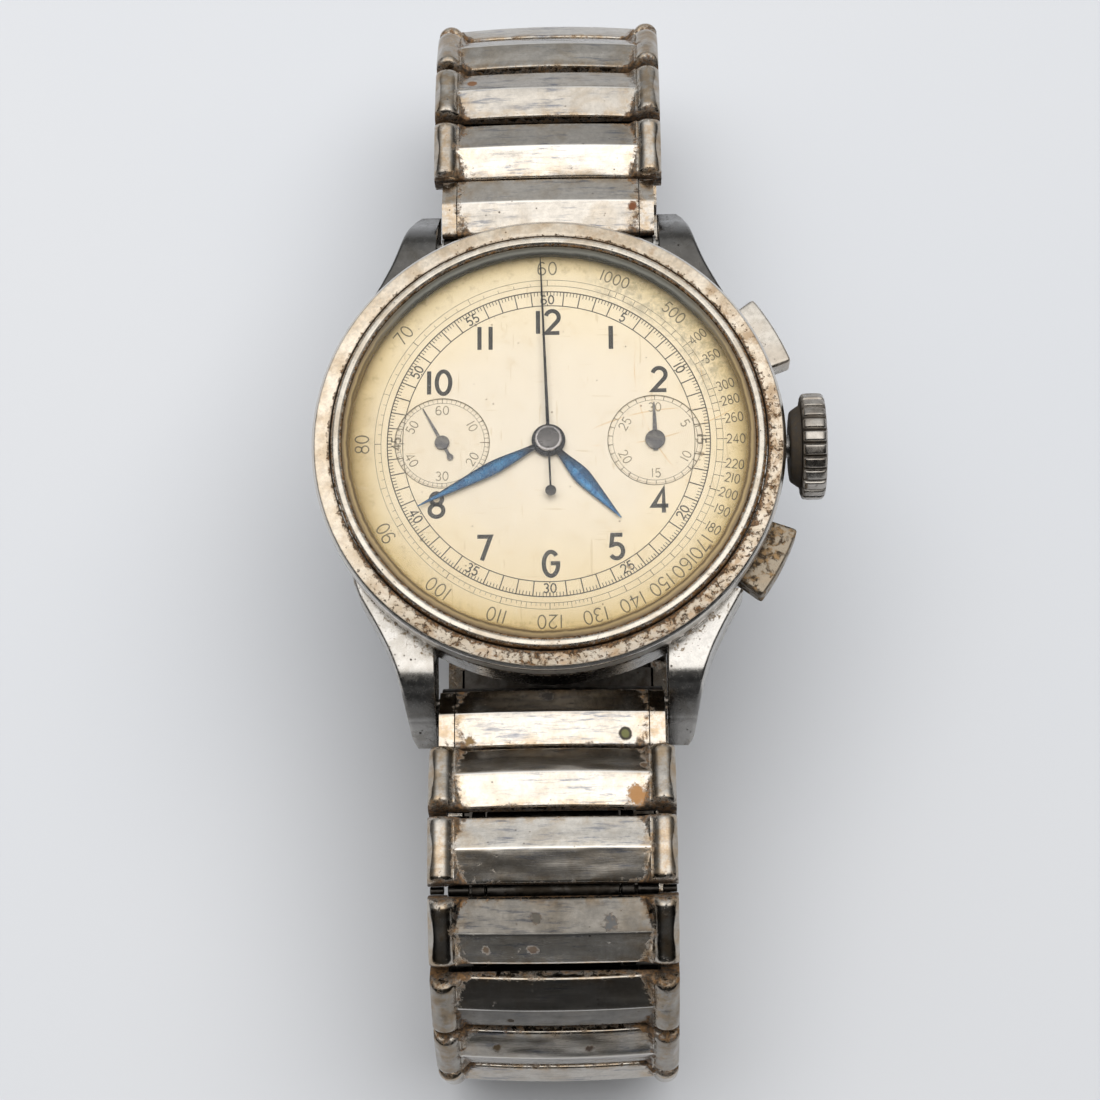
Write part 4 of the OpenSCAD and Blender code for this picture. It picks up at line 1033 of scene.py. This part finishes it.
def leaf_vf(L, w, z0, base=0.20, x0=0.9, peak=0.48, rise=0.11):
    """A leaf blade with a raised spine, along +X."""
    loops = []
    n = 34
    for k in range(n + 1):
        u = k / n
        x = x0 + (L - x0) * u
        q = x / L
        if q < peak:
            t = sm((q - x0 / L) / (peak - x0 / L))
            hw = base + (w - base) * t
        else:
            t = (q - peak) / (1 - peak)
            hw = w * (1 - t ** 1.35) * (1 - 0.25 * t) + 0.035 * t
        hw = max(hw, 0.035)
        zt = z0 + 0.04 + rise * hw / w
        ze = z0 + 0.035
        loops.append([(x, -hw, z0), (x, -hw, ze), (x, -hw * 0.5, (ze + zt) / 2 + 0.006), (x, -0.02, zt), (x, 0.02, zt),
                      (x, hw * 0.5, (ze + zt) / 2 + 0.006), (x, hw, ze), (x, hw, z0)])
    return loft(loops)


ACROSS = [-1.0, -1.0, -0.5, -0.04, 0.04, 0.5, 1.0, 1.0]


def across(v_blade, total):
    """How far over the blade each point lies: 0 at its spine."""
    return [ACROSS[k % 8] for k in range(len(v_blade))] + [0.0] * (total - len(v_blade))


def disc_vf(r, z0, z1, bev=0.04, n=72, hole=0.0):
    if hole:
        prof = fillet([(hole, z0), (r, z0, bev), (r, z1, bev), (hole, z1, bev * 0.5)], 4)
        return lathe_vf(prof, n)
    loops = []
    for z, rr in ((z0, r - bev), (z0 + bev, r), (z1 - bev, r), (z1 - bev * 0.3, r - bev * 0.3), (z1, r - bev)):
        loops.append([(rr * math.cos(2 * PI * k / n), rr * math.sin(2 * PI * k / n), z) for k in range(n)])
    return loft(loops)


v1, f1 = leaf_vf(8.5, 0.66, 8.56, base=0.26, peak=0.47)
vf = join([(zrot(v1, -49), f1), disc_vf(1.32, 8.54, 8.72, 0.05, hole=0.97)])
hour = add_mesh("hour_hand_blade", *vf, {"side": across(v1, len(vf[0]))}, angle=30)
v1, f1 = leaf_vf(11.5, 0.56, 8.76, base=0.22, peak=0.44)
vf = join([(zrot(v1, 207.5), f1), disc_vf(1.24, 8.75, 8.92, 0.05, hole=0.42), disc_vf(0.55, 7.3, 8.80, 0.03, hole=0.42)])
minute = add_mesh("minute_hand_blade", *vf, {"side": across(v1, len(vf[0]))}, angle=30)
parts = []
loops = []
for x, hw in ((-4.0, 0.075), (-1.0, 0.085), (0.2, 0.14), (2.0, 0.13), (8.0, 0.095), (14.6, 0.06), (15.3, 0.03)):
    loops.append([(x, -hw, 8.97), (x, -hw, 9.01), (x, 0.0, 9.05), (x, hw, 9.01), (x, hw, 8.97)])
parts.append((zrot(loft(loops)[0], 92), loft(loops)[1]))
v1, f1 = disc_vf(0.43, 8.965, 9.065, 0.03, 40)
v1 = [(p[0] - 4.25, p[1], p[2]) for p in v1]
parts.append((zrot(v1, 92), f1))
chrono_vf = join(parts)
chrono = add_mesh("chronograph_hand_blade", *chrono_vf, angle=30)
hub = add_mesh("chronograph_hand_hub", *join([disc_vf(1.06, 8.955, 9.22, 0.11), disc_vf(0.82, 9.2, 9.30, 0.05), disc_vf(0.30, 9.25, 9.36, 0.05, 40)]), angle=30)


def sub_vf(L, tail, bulb, w, hub_r, z0=8.40):
    loops = []
    for x, hw in ((-tail, w * 1.3), (-hub_r * 0.5, w * 1.1), (hub_r * 0.5, w * 1.3), (L * 0.6, w * 0.85), (L, 0.045)):
        loops.append([(x, -hw, z0), (x, -hw, z0 + 0.04), (x, 0, z0 + 0.06), (x, hw, z0 + 0.04), (x, hw, z0)])
    ps = [loft(loops), disc_vf(hub_r, z0 - 0.01, z0 + 0.13, 0.04, 40)]
    if bulb:
        v_, f_ = disc_vf(bulb, z0, z0 + 0.07, 0.02, 28)
        ps.append(([(p[0] - tail, p[1], p[2]) for p in v_], f_))
    return join(ps)


v1, f1 = sub_vf(3.2, 1.35, 0.26, 0.11, 0.58)
sec = add_mesh("running_seconds_blade", zrot(v1, 118, -8.33), f1, angle=30)
v1, f1 = sub_vf(3.1, 0.9, 0.0, 0.15, 0.78)
cnt = add_mesh("minute_counter_blade", zrot(v1, 91, 8.33), f1, angle=30)


def blued(name, c1, c2, rough=0.2, metallic=1.0):
    M = Mat(name)
    co = M.mm()
    x, y, z = M.sep(co)[0:3]
    r = M.math("POWER", M.math("ADD", M.math("MULTIPLY", x, x), M.math("MULTIPLY", y, y)), 0.5)
    n = M.noise(co, 1.4, 5, 0.62, 0.5)
    col = M.mix(M.mr(n, 0.36, 0.66), c1, c2)
    sd = M.attr("side").outputs["Fac"]
    # painted shade: the blade's edge facets and one side of its spine are darkened, and the blade darkens towards the
    # centre
    col = M.mix(M.math("MULTIPLY", M.mr(M.math("ABSOLUTE", sd), 0.55, 0.95), 0.75), col, (0.010, 0.016, 0.030))
    col = M.mix(M.math("MULTIPLY", M.mr(sd, -0.02, 0.10), 0.45), col, (0.012, 0.030, 0.070))
    col = M.mix(M.mr(r, 3.4, 1.3), col, (0.016, 0.018, 0.024))
    sp = M.mr(M.voro(co, 2.2), 0.11, 0.05)
    col = M.mix(M.math("MULTIPLY", sp, 0.6), col, (0.10, 0.12, 0.13))
    M.set("Base Color", col)
    M.set("Metallic", metallic)
    M.set("Roughness", M.mr(M.noise(co, 5.0, 4), 0.3, 0.7, rough * 0.8, rough * 1.6))
    M.set("Normal", M.bump(n, 0.2, 0.00001))
    return M.m


M_BLUE = blued("blued_hands", (0.022, 0.085, 0.20), (0.055, 0.19, 0.36))
M_DARK = blued("dark_blued_hand", (0.030, 0.030, 0.034), (0.075, 0.068, 0.062), 0.3)
def hub_shade(M, co):
    x, y, z = M.sep(co)[0:3]
    r = M.math("POWER", M.math("ADD", M.math("MULTIPLY", x, x), M.math("MULTIPLY", y, y)), 0.5)
    # painted highlight: the cap's outer bevel is brightened
    return M.mr(r, 0.84, 0.90, 1.0, 3.4)


M_HUB = steel("hub_grey_steel", shade=hub_shade, col=(0.125, 0.12, 0.125), rough=0.20, tarnish=(0.075, 0.072, 0.078), t_amt=0.5, pits=0.3, pit_scale=3.0, scratch=0.2,
              mottling=0.25, radial=True, bump_s=0.3).m
M_SUBH = simple_metal("small_hand_steel", (0.10, 0.10, 0.11), 0.35, (0.22, 0.21, 0.20), 1.5)
put(hour, "hour_hand", M_BLUE, "blued_steel", "hour_hand")
put(minute, "minute_hand", M_BLUE, "blued_steel", "minute_hand")
put(chrono, "chronograph_seconds", M_DARK, "dark_steel", "chronograph_hand")
put(hub, "chronograph_seconds", M_HUB, "dark_steel")
put(sec, "seconds_train", M_SUBH, "dark_steel", "running_seconds_hand")
put(cnt, "minute_counter", M_SUBH, "dark_steel", "minute_counter_hand")


# ------------------------------------------------------------ dial printing
def arc(cx, cy, rx, ry, a0, a1, n=14):
    return [(cx + rx * math.cos(rad(a0 + (a1 - a0) * k / n)), cy + ry * math.sin(rad(a0 + (a1 - a0) * k / n))) for k in range(n + 1)]


GLYPH = {
    "0": (0.60, [arc(.30, .5, .27, .47, 90, 450, 26)]),
    "1": (0.20, [[(.10, 0.02), (.10, .98)]]),
    "2": (0.60, [arc(.30, .70, .26, .27, 165, -38, 12) + [(.05, .04), (.58, .04)]]),
    "3": (0.56, [arc(.28, .73, .23, .24, 150, -85, 12), arc(.27, .26, .26, .24, 92, -150, 14)]),
    "4": (0.62, [[(.44, .0), (.44, .96), (.02, .28), (.62, .28)]]),
    "5": (0.56, [[(.52, .96), (.13, .96), (.08, .54)] + arc(.28, .31, .26, .29, 125, -145, 14)]),
    "6": (0.60, [arc(.32, .46, .29, .51, 55, 178, 12) + arc(.30, .29, .27, .27, 180, 500, 18)]),
    "7": (0.56, [[(.02, .95), (.54, .95), (.20, .0)]]),
    "8": (0.58, [arc(.29, .73, .22, .23, 90, 450, 20), arc(.29, .26, .27, .25, 90, 450, 22)]),
    "9": (0.60, [arc(.28, .54, .29, .51, 235, 358, 12) + arc(.30, .71, .27, .27, 0, 320, 18)]),
    "G": (0.62, [arc(.31, .48, .28, .48, 42, 352, 24) + [(.585, .50), (.30, .50)]]),
    "-": (0.34, [[(.02, .5), (.32, .5)]]),
    "I": (0.12, [[(.06, 0.02), (.06, .98)]]),
}
PV, PF = [], []
Z0, Z1 = 8.296, 8.318


def ribbon(pts, w, out=None):
    """A flat printed stroke with thickness; pts are in mm on the dial."""
    global PV, PF
    closed = math.hypot(pts[0][0] - pts[-1][0], pts[0][1] - pts[-1][1]) < 1e-6 and len(pts) > 3
    if closed:
        pts = pts[:-1]
    n = len(pts)
    L, R = [], []
    for k in range(n):
        p = Vector(pts[k])
        a = Vector(pts[k - 1]) if (closed or k) else None
        b = Vector(pts[(k + 1) % n]) if (closed or k < n - 1) else None
        d1 = (p - a).normalized() if a is not None else None
        d2 = (b - p).normalized() if b is not None else None
        if d1 is None:
            d1 = d2
        if d2 is None:
            d2 = d1
        d = (d1 + d2)
        d = d.normalized() if d.length > 1e-6 else d1
        nrm = Vector((-d.y, d.x))
        c = max(0.45, abs(nrm.dot(Vector((-d1.y, d1.x)))))
        L.append(p + nrm * w / 2 / c)
        R.append(p - nrm * w / 2 / c)
    base = len(PV)
    for k in range(n):
        PV += [(L[k].x, L[k].y, Z1), (R[k].x, R[k].y, Z1), (R[k].x, R[k].y, Z0), (L[k].x, L[k].y, Z0)]
    for k in range(n if closed else n - 1):
        a, b = base + 4 * k, base + 4 * ((k + 1) % n)
        for q in range(4):
            PF.append((a + q, b + q, b + (q + 1) % 4, a + (q + 1) % 4))
    if not closed:
        PF.append((base, base + 1, base + 2, base + 3))
        e = base + 4 * (n - 1)
        PF.append((e + 3, e + 2, e + 1, e))


def text(s, x, y, h, w, ang=0.0, wide=1.0, gap=0.16, skip=0.0):
    """Generic numerals centred on (x, y); ang turns them anticlockwise."""
    tot = sum(GLYPH[c][0] * wide for c in s) + gap * (len(s) - 1)
    ox = -tot / 2
    a = rad(ang)
    ca, sa = math.cos(a), math.sin(a)
    for c in s:
        gw, strokes = GLYPH[c]
        for st in strokes:
            pts = []
            for px, py in st:
                qx, qy = (ox + px * wide) * h, (py - 0.5) * h
                pts.append((x + qx * ca - qy * sa, y + qx * sa + qy * ca))
            if random.random() >= skip:
                ribbon(pts, w)
        ox += gw * wide + gap


def polar(r, cw):
    """Point at radius r, clockwise angle from 12."""
    return (r * math.sin(rad(cw)), r * math.cos(rad(cw)))


def circle(cx, cy, r, w, n=120, a0=0, a1=360):
    if a1 - a0 >= 359.9:
        pts = [(cx + r * math.cos(rad(a0 + 360 * k / n)), cy + r * math.sin(rad(a0 + 360 * k / n))) for k in range(n)]
        pts.append(pts[0])
    else:
        pts = [(cx + r * math.cos(rad(a0 + (a1 - a0) * k / n)), cy + r * math.sin(rad(a0 + (a1 - a0) * k / n))) for k in range(n + 1)]
    ribbon(pts, w)


def tick(r0, r1, cw, w, cx=0.0, cy=0.0):
    a, b = polar(r0, cw), polar(r1, cw)
    ribbon([(cx + a[0], cy + a[1]), (cx + b[0], cy + b[1])], w)


# hour numerals, upright
for s, cw, r in (("12", 0, 10.02), ("1", 30, 9.97), ("2", 60, 10.08), ("4", 120, 9.95), ("5", 149.2, 10.08), ("G", 179.4, 9.95),
                 ("7", 210.4, 10.0), ("8", 240, 10.1), ("10", 300.4, 9.98), ("11", 330.4, 10.05)):
    x, y = polar(r, cw)
    text(s, x, y, 2.02, 0.33 if s != "1" else 0.36, wide=0.98, gap=0.17 if s != "11" else 0.24)
# minute track
circle(0, 0, 12.62, 0.085, 180)
circle(0, 0, 11.42, 0.07, 180)
numbers = {k * 30: str(k * 5) for k in range(1, 12)}
for k in range(300):
    cw = k * 1.2
    if k % 5 == 0:
        m = (k // 5)
        if m % 5 == 0:
            tick(12.28, 12.62, cw, 0.10)
            tick(11.42, 11.56, cw, 0.07)
        else:
            tick(11.42, 12.62, cw, 0.085)
    else:
        tick(12.62, 12.27, cw, 0.055)
for k in range(1, 13):
    cw = k * 30
    m = k * 5
    x, y = polar(11.93, cw)
    ang = -cw if (cw <= 91 or cw >= 269) else 180 - cw
    text(str(m), x, y, 0.74, 0.11, ang, wide=0.98, gap=0.2)
# outer double line with short dashes
circle(0, 0, 13.12, 0.035, 180)
circle(0, 0, 13.62, 0.030, 180)
tach = [60, 70, 80, 90, 100, 110, 120, 130, 140, 150, 160, 170, 180, 190, 200, 210, 220, 240, 260, 280, 300, 350, 400, 500, 1000]
for N in range(60, 201, 1):
    cw = 21600.0 / N
    if cw > 360.01 or cw < 100:
        continue
    lng = N % 10 == 0
    if N % 5 == 0 or N < 130:
        tick(13.12, 13.62 if lng or N % 5 == 0 else 13.38, cw, 0.055 if lng else 0.032)
for N in (200, 210, 220, 230, 240, 250, 260, 270, 280, 290, 300, 325, 350, 375, 400, 450, 500, 600, 700, 800, 900, 1000):
    tick(13.12, 13.62, 21600.0 / N, 0.045)
for N in tach:
    cw = (21600.0 / N) % 360
    s = str(N)
    if N >= 180 and N not in (1000, 500):
        x, y = polar(14.62, cw)
        text(s, x, y, 0.78, 0.085, 90 - cw if cw < 180 else -90 - cw, wide=0.85, gap=0.14)
        tick(13.68, 13.95, cw, 0.06)
    else:
        x, y = polar(14.62, cw)
        text(s, x, y, 1.12 if N < 180 else 0.95, 0.105, -cw, wide=0.98, gap=0.17)
# small dials
for sx, labels, majors in ((-1, {0: "60", 60: "10", 120: "20", 180: "30", 240: "40", 300: "50"}, 12),
                           (1, {0: "30", 60: "5", 120: "10", 180: "15", 240: "20", 300: "25"}, 30)):
    cx = sx * 8.33
    circle(cx, 0, 3.70, 0.055, 96)
    circle(cx, 0, 3.32, 0.035, 90)
    steps = 60 if sx < 0 else 30
    for k in range(steps):
        cw = k * 360 / steps
        big = k % (5 if sx < 0 else 1) == 0
        tick(3.32, 3.70, cw, 0.06 if big else 0.03, cx, 0)
    if sx < 0:
        for cw in (90, 270):
            tick(2.95, 3.32, cw, 0.06, cx, 0)
    for cw, s in labels.items():
        x, y = polar(2.72, cw)
        text(s, cx + x, y, 0.74, 0.075, 0 if cw in (0, 180) else (-cw if cw < 91 or cw > 269 else 180 - cw), wide=1.0, gap=0.18)

printing = add_mesh("dial_printing", PV, PF, angle=30)


def ink():
    M = Mat("dial_ink")
    co = M.mm()
    x, y, z = M.sep(co)[0:3]
    r = M.math("POWER", M.math("ADD", M.math("MULTIPLY", x, x), M.math("MULTIPLY", y, y)), 0.5)
    sub = M.math("MINIMUM", M.vec("DISTANCE", M.comb(x, y, 0.0), (8.33, 0.0, 0.0)), M.vec("DISTANCE", M.comb(x, y, 0.0), (-8.33, 0.0, 0.0)))
    n = M.noise(co, 1.3, 5, 0.65)
    dark = M.mix(M.mr(n, 0.35, 0.65), (0.014, 0.013, 0.012), (0.045, 0.040, 0.034))
    faded = M.mix(M.mr(n, 0.35, 0.65), (0.17, 0.145, 0.10), (0.33, 0.28, 0.19))
    f = M.math("MAXIMUM", M.mr(sub, 4.0, 3.8, 0.0, 0.85), M.mr(r, 12.9, 13.1, 0.0, 0.50))
    f = M.math("MAXIMUM", f, M.mr(M.math("MULTIPLY", M.math("GREATER_THAN", r, 11.2), r), 11.0, 11.4, 0.0, 0.10))
    M.set("Base Color", M.mix(f, dark, faded))
    M.set("Roughness", 0.55)
    return M.m


put(printing, "head", ink(), "dial_cream")


def dial_material():
    M = Mat("dial_aged_cream")
    co = M.mm()
    x, y, z = M.sep(co)[0:3]
    r = M.math("POWER", M.math("ADD", M.math("MULTIPLY", x, x), M.math("MULTIPLY", y, y)), 0.5)
    wob = M.math("MULTIPLY", M.math("SUBTRACT", M.noise(co, 0.22, 4), 0.5), 5.0)
    rr = M.mr(M.math("ADD", r, wob), 0.0, 17.0, smooth=False)
    col = M.ramp(rr, [(0.0, (0.735, 0.67, 0.58)), (0.45, (0.75, 0.675, 0.565)), (0.70, (0.79, 0.685, 0.51)), (0.86, (0.76, 0.645, 0.43)), (1.0, (0.60, 0.49, 0.29))])
    lower = M.mr(y, -2.0, -14.0, 0.0, 0.55)
    col = M.mix(lower, col, (0.76, 0.63, 0.40))
    upper = M.mr(y, 5.0, 14.0, 0.0, 0.5)
    col = M.mix(upper, col, (0.74, 0.655, 0.49))
    left = M.math("MULTIPLY", M.mr(x, -12.5, -15.6), M.mr(M.noise(co, 0.5, 3), 0.3, 0.6, 0.4, 1.0))
    col = M.mix(M.math("MULTIPLY", left, 0.55), col, (0.42, 0.31, 0.16))
    dl = M.vec("DISTANCE", M.comb(x, y, 0.0), (-8.33, 0.0, 0.0))
    dr = M.vec("DISTANCE", M.comb(x, y, 0.0), (8.33, 0.0, 0.0))
    ds = M.math("MINIMUM", dl, dr)
    inside = M.mr(ds, 3.72, 3.66)
    col = M.mix(M.math("MULTIPLY", inside, 0.75), col, (0.745, 0.665, 0.545))
    blot = M.noise(co, 0.9, 6, 0.66, 0.6)
    col = M.mix(M.mr(blot, 0.55, 0.78, 0.0, 0.30), col, (0.60, 0.45, 0.24))
    acw = M.math("ARCTAN2", x, y)
    sector = M.math("MULTIPLY", M.mr(M.math("ABSOLUTE", M.math("SUBTRACT", acw, 0.78)), 0.62, 0.38), M.mr(M.math("ABSOLUTE", M.math("SUBTRACT", r, 14.2)), 2.0, 1.0))
    smud = M.math("MULTIPLY", M.mr(M.noise(M.vec("ADD", co, (3.0, 8.0, 0.0)), 1.6, 6, 0.72, 0.4), 0.42, 0.64), sector)
    col = M.mix(M.math("MULTIPLY", smud, 0.55), col, (0.26, 0.235, 0.17))
    edgeb = M.math("MULTIPLY", M.mr(M.noise(M.vec("ADD", co, (5.0, 5.0, 0.0)), 1.2, 6, 0.7), 0.50, 0.68), M.mr(r, 12.8, 15.2))
    col = M.mix(M.math("MULTIPLY", edgeb, 0.45), col, (0.33, 0.25, 0.12))
    spk = M.math("MULTIPLY", M.mr(M.math("ADD", M.voro(co, 0.9), M.math("MULTIPLY", M.noise(co, 8.0, 2), 0.06)), 0.125, 0.085),
                 M.mr(M.noise(M.vec("ADD", co, (2.0, 9.0, 0.0)), 0.4, 3), 0.48, 0.60))
    col = M.mix(M.math("MULTIPLY", spk, 0.75), col, (0.16, 0.09, 0.035))
    scr = M.math("MAXIMUM", M.mr(M.noise(M.vec("MULTIPLY", co, (4.0, 0.35, 1.0)), 1.0, 1, 0.5, 0.6), 0.71, 0.735),
                 M.mr(M.noise(M.vec("MULTIPLY", M.vec("ADD", co, (4.0, 1.0, 0.0)), (0.4, 4.5, 1.0)), 1.0, 1, 0.5, 0.6), 0.72, 0.745))
    col = M.mix(M.math("MULTIPLY", scr, 0.35), col, (0.52, 0.40, 0.22))
    for sx, sy, sr, sc in ((14.1, -7.2, 0.30, (0.22, 0.12, 0.04)), (13.6, 9.2, 0.22, (0.16, 0.10, 0.05)), (11.9, -1.2, 0.16, (0.30, 0.19, 0.07)),
                           (6.1, -10.3, 0.14, (0.24, 0.15, 0.06)), (-9.9, -7.9, 0.12, (0.20, 0.13, 0.06)), (12.4, -8.8, 0.18, (0.20, 0.12, 0.05))):
        d = M.math("ADD", M.vec("DISTANCE", M.comb(x, y, 0.0), (sx, sy, 0.0)), M.math("MULTIPLY", M.math("SUBTRACT", M.noise(co, 3.5, 3), 0.5), 0.35))
        col = M.mix(M.math("MULTIPLY", M.mr(d, sr + 0.10, sr - 0.06), 0.8), col, sc)
    for cx, cy, cr, a0, a1 in ((10.6, -14.0, 16.6, 0.35, 0.72), (4.0, 20.0, 20.4, 1.62, 1.95), (20.0, 6.0, 13.2, 3.25, 3.62), (-2.0, 3.0, 14.3, 4.9, 5.3)):
        d = M.math("ABSOLUTE", M.math("SUBTRACT", M.vec("DISTANCE", M.comb(x, y, 0.0), (cx, cy, 0.0)), cr))
        along = M.noise(M.vec("ADD", co, (cx, cy, 0.0)), 0.25, 2)
        near = M.mr(M.vec("DISTANCE", M.comb(x, y, 0.0), (9.0, 2.0, 0.0)), 7.0, 4.0)
        col = M.mix(M.math("MULTIPLY", M.math("MULTIPLY", M.mr(d, 0.07, 0.02), near), M.mr(along, 0.42, 0.55, 0.0, 0.55)), col, (0.62, 0.38, 0.12))
    M.set("Base Color", col)
    M.set("Metallic", 0.12)
    M.set("Roughness", M.mr(blot, 0.3, 0.7, 0.42, 0.58))
    az = M.math("MULTIPLY", M.math("SINE", M.math("MULTIPLY", ds, 42.0)), inside)
    h = M.math("ADD", M.math("MULTIPLY", az, 0.6), M.math("ADD", M.math("MULTIPLY", scr, -0.8), M.math("MULTIPLY", M.noise(co, 5.0, 5), 0.5)))
    M.set("Normal", M.bump(h, 0.25, 0.00001))
    return M.m


# --------------------------------------------------- CAD pieces that are kept
def assign(nodes, mat, s):
    for nme in nodes:
        o = frame["nodes"][nme]
        o.data.materials.clear()
        o.data.materials.append(mat)


assign(["dial"], dial_material(), "dial_cream")
assign(["spring_bars", "winding_stem"], steel("plain_bar_steel", col=(0.46, 0.45, 0.43), rough=0.3, t_amt=0.6, pits=0.5, scratch=0.4,
                                               grain=(8.0, 1.0, 1.0), bump_s=0.3).m, "plain_steel")


def perlage():
    M = Mat("nickel_perlage")
    co = M.mm()
    cell = M.voro(co, 0.85, 0.15)
    rings = M.math("SINE", M.math("MULTIPLY", cell, 60.0))
    n = M.noise(co, 0.4, 4)
    M.set("Base Color", M.mix(M.mr(n, 0.3, 0.7), (0.66, 0.63, 0.56), (0.54, 0.50, 0.42)))
    M.set("Metallic", 1.0)
    M.set("Roughness", M.mr(rings, -1.0, 1.0, 0.22, 0.34))
    M.set("Normal", M.bump(rings, 0.3, 0.00001))
    return M.m


assign(["main_plate", "train_bridge", "balance_cock", "chronograph_bridge"], perlage(), "nickel_plate")
assign(["mainspring_barrel", "centre_wheel", "third_wheel", "fourth_wheel", "escape_wheel", "balance_wheel", "hour_wheel",
        "chronograph_runner", "minute_recorder"], simple_metal("gilt_brass_brushed", (0.78, 0.58, 0.27), 0.28, (0.62, 0.42, 0.17), 0.6, (9, 9, 2)), "gilt_brass")
assign(["bridge_screws", "hairspring"], simple_metal("blued_screw", (0.03, 0.07, 0.22), 0.2, (0.05, 0.12, 0.30), 1.5), "blued_steel")
assign(["ratchet_wheel", "pallet_fork", "column_wheel", "operating_lever", "reset_hammer"],
       simple_metal("polished_works_steel", (0.55, 0.54, 0.52), 0.22, (0.42, 0.41, 0.39), 1.2, (2, 14, 6)), "plain_steel")


# -------------------------------------------------------- floor, light, camera
FLOOR_Z = -21.13
bm = bmesh.new()
bmesh.ops.create_grid(bm, x_segments=8, y_segments=8, size=1.5)
me = bpy.data.meshes.new("floor")
bm.to_mesh(me)
bm.free()
floor = bpy.data.objects.new("floor", me)
floor.location = (0, 0, FLOOR_Z * S)
bpy.context.scene.collection.objects.link(floor)
M = Mat("pale_table")
n1 = M.noise(M.mm(), 0.01, 3)
fxy = M.sep(M.mm())
# painted light falloff: the table darkens from one corner towards the other
painted_falloff = M.mr(M.math("SUBTRACT", fxy[0], fxy[1]), -150.0, 150.0, 0.975, 0.855, False)
M.set("Base Color", M.mix(1.0, M.mix(M.mr(n1, 0.3, 0.7), (0.595, 0.612, 0.642), (0.61, 0.622, 0.645)), M.comb(painted_falloff, painted_falloff, painted_falloff), "MULTIPLY"))
M.set("Roughness", 0.75)
M.set("Specular IOR Level", 0.2)
floor.data.materials.append(M.m)

w = bpy.data.worlds.new("studio")
bpy.context.scene.world = w
w.use_nodes = True
t = w.node_tree
t.nodes.clear()
out = t.nodes.new("ShaderNodeOutputWorld")
bg = t.nodes.new("ShaderNodeBackground")
t.links.new(bg.outputs[0], out.inputs[0])
tc = t.nodes.new("ShaderNodeTexCoord")
sp = t.nodes.new("ShaderNodeSeparateXYZ")
t.links.new(tc.outputs["Generated"], sp.inputs[0])
at = t.nodes.new("ShaderNodeMath")
at.operation = "ARCTAN2"
t.links.new(sp.outputs[1], at.inputs[0])
t.links.new(sp.outputs[2], at.inputs[1])
mr = t.nodes.new("ShaderNodeMapRange")
mr.inputs["From Min"].default_value = -PI
mr.inputs["From Max"].default_value = PI
t.links.new(at.outputs[0], mr.inputs["Value"])
cr = t.nodes.new("ShaderNodeValToRGB")
cr.color_ramp.interpolation = "EASE"
STOPS = [(-180, 0.25), (-95, 0.07), (-75, 0.05), (-60, 0.02), (-46, 0.03), (-33, 0.05), (-23, 0.11), (-16, 0.48), (-9, 1.12), (8, 1.2), (22, 0.86),
         (44, 0.66), (54, 0.48), (64, 0.34), (76, 0.34), (98, 0.42), (180, 0.3)]
e = cr.color_ramp.elements
while len(e) < len(STOPS):
    e.new(0.5)
for k, (d, val) in enumerate(STOPS):
    e[k].position = (d + 180) / 360
    warm = (1.0, 0.985, 0.965) if abs(d) < 40 else (0.97, 0.985, 1.0)
    e[k].color = (val * warm[0], val * warm[1], val * warm[2], 1)
t.links.new(mr.outputs[0], cr.inputs[0])
ax = t.nodes.new("ShaderNodeMath")
ax.operation = "ABSOLUTE"
t.links.new(sp.outputs[0], ax.inputs[0])
fx = t.nodes.new("ShaderNodeMapRange")
fx.interpolation_type = "SMOOTHSTEP"
fx.inputs["From Min"].default_value = 0.38
fx.inputs["From Max"].default_value = 0.88
fx.inputs["To Min"].default_value = 1.0
fx.inputs["To Max"].default_value = 0.13
t.links.new(ax.outputs[0], fx.inputs["Value"])
mu = t.nodes.new("ShaderNodeMath")
mu.operation = "MULTIPLY"
t.links.new(fx.outputs[0], mu.inputs[0])
mu.inputs[1].default_value = 1.70
t.links.new(cr.outputs[0], bg.inputs[0])
t.links.new(mu.outputs[0], bg.inputs[1])


def area(name, loc, size, energy, target=(0, 0, 0), glossy=True, color=(1, 1, 1)):
    ld = bpy.data.lights.new(name, "AREA")
    ld.shape = "RECTANGLE"
    ld.size, ld.size_y = size
    ld.energy = energy
    ld.color = color
    o = bpy.data.objects.new(name, ld)
    bpy.context.scene.collection.objects.link(o)
    o.location = loc
    o.rotation_euler = (Vector(target) - Vector(loc)).to_track_quat("-Z", "Y").to_euler()
    o.visible_glossy = glossy
    return o


area("overhead_soft", (0.12, 0.22, 0.95), (1.3, 1.0), 9.2, glossy=False)

cam = bpy.data.cameras.new("camera")
cam.sensor_width = 36
cam.lens = 85.77
cam.clip_start = 0.001
cam.clip_end = 10
co = bpy.data.objects.new("camera", cam)
bpy.context.scene.collection.objects.link(co)
R_ = Vector((0.9996255, -0.0081844, -0.0261127))
U_ = Vector((0.0155335, 0.9553015, 0.295225))
F_ = Vector((-0.0225292, 0.2955201, -0.9550708))
mat = Matrix((R_, U_, -F_)).transposed().to_4x4()
mat.translation = Vector((4.58696, -68.58551, 201.28344)) * S
co.matrix_world = mat
bpy.context.scene.camera = co
bpy.context.scene.view_settings.view_transform = "Standard"
bpy.context.scene.view_settings.look = "None"
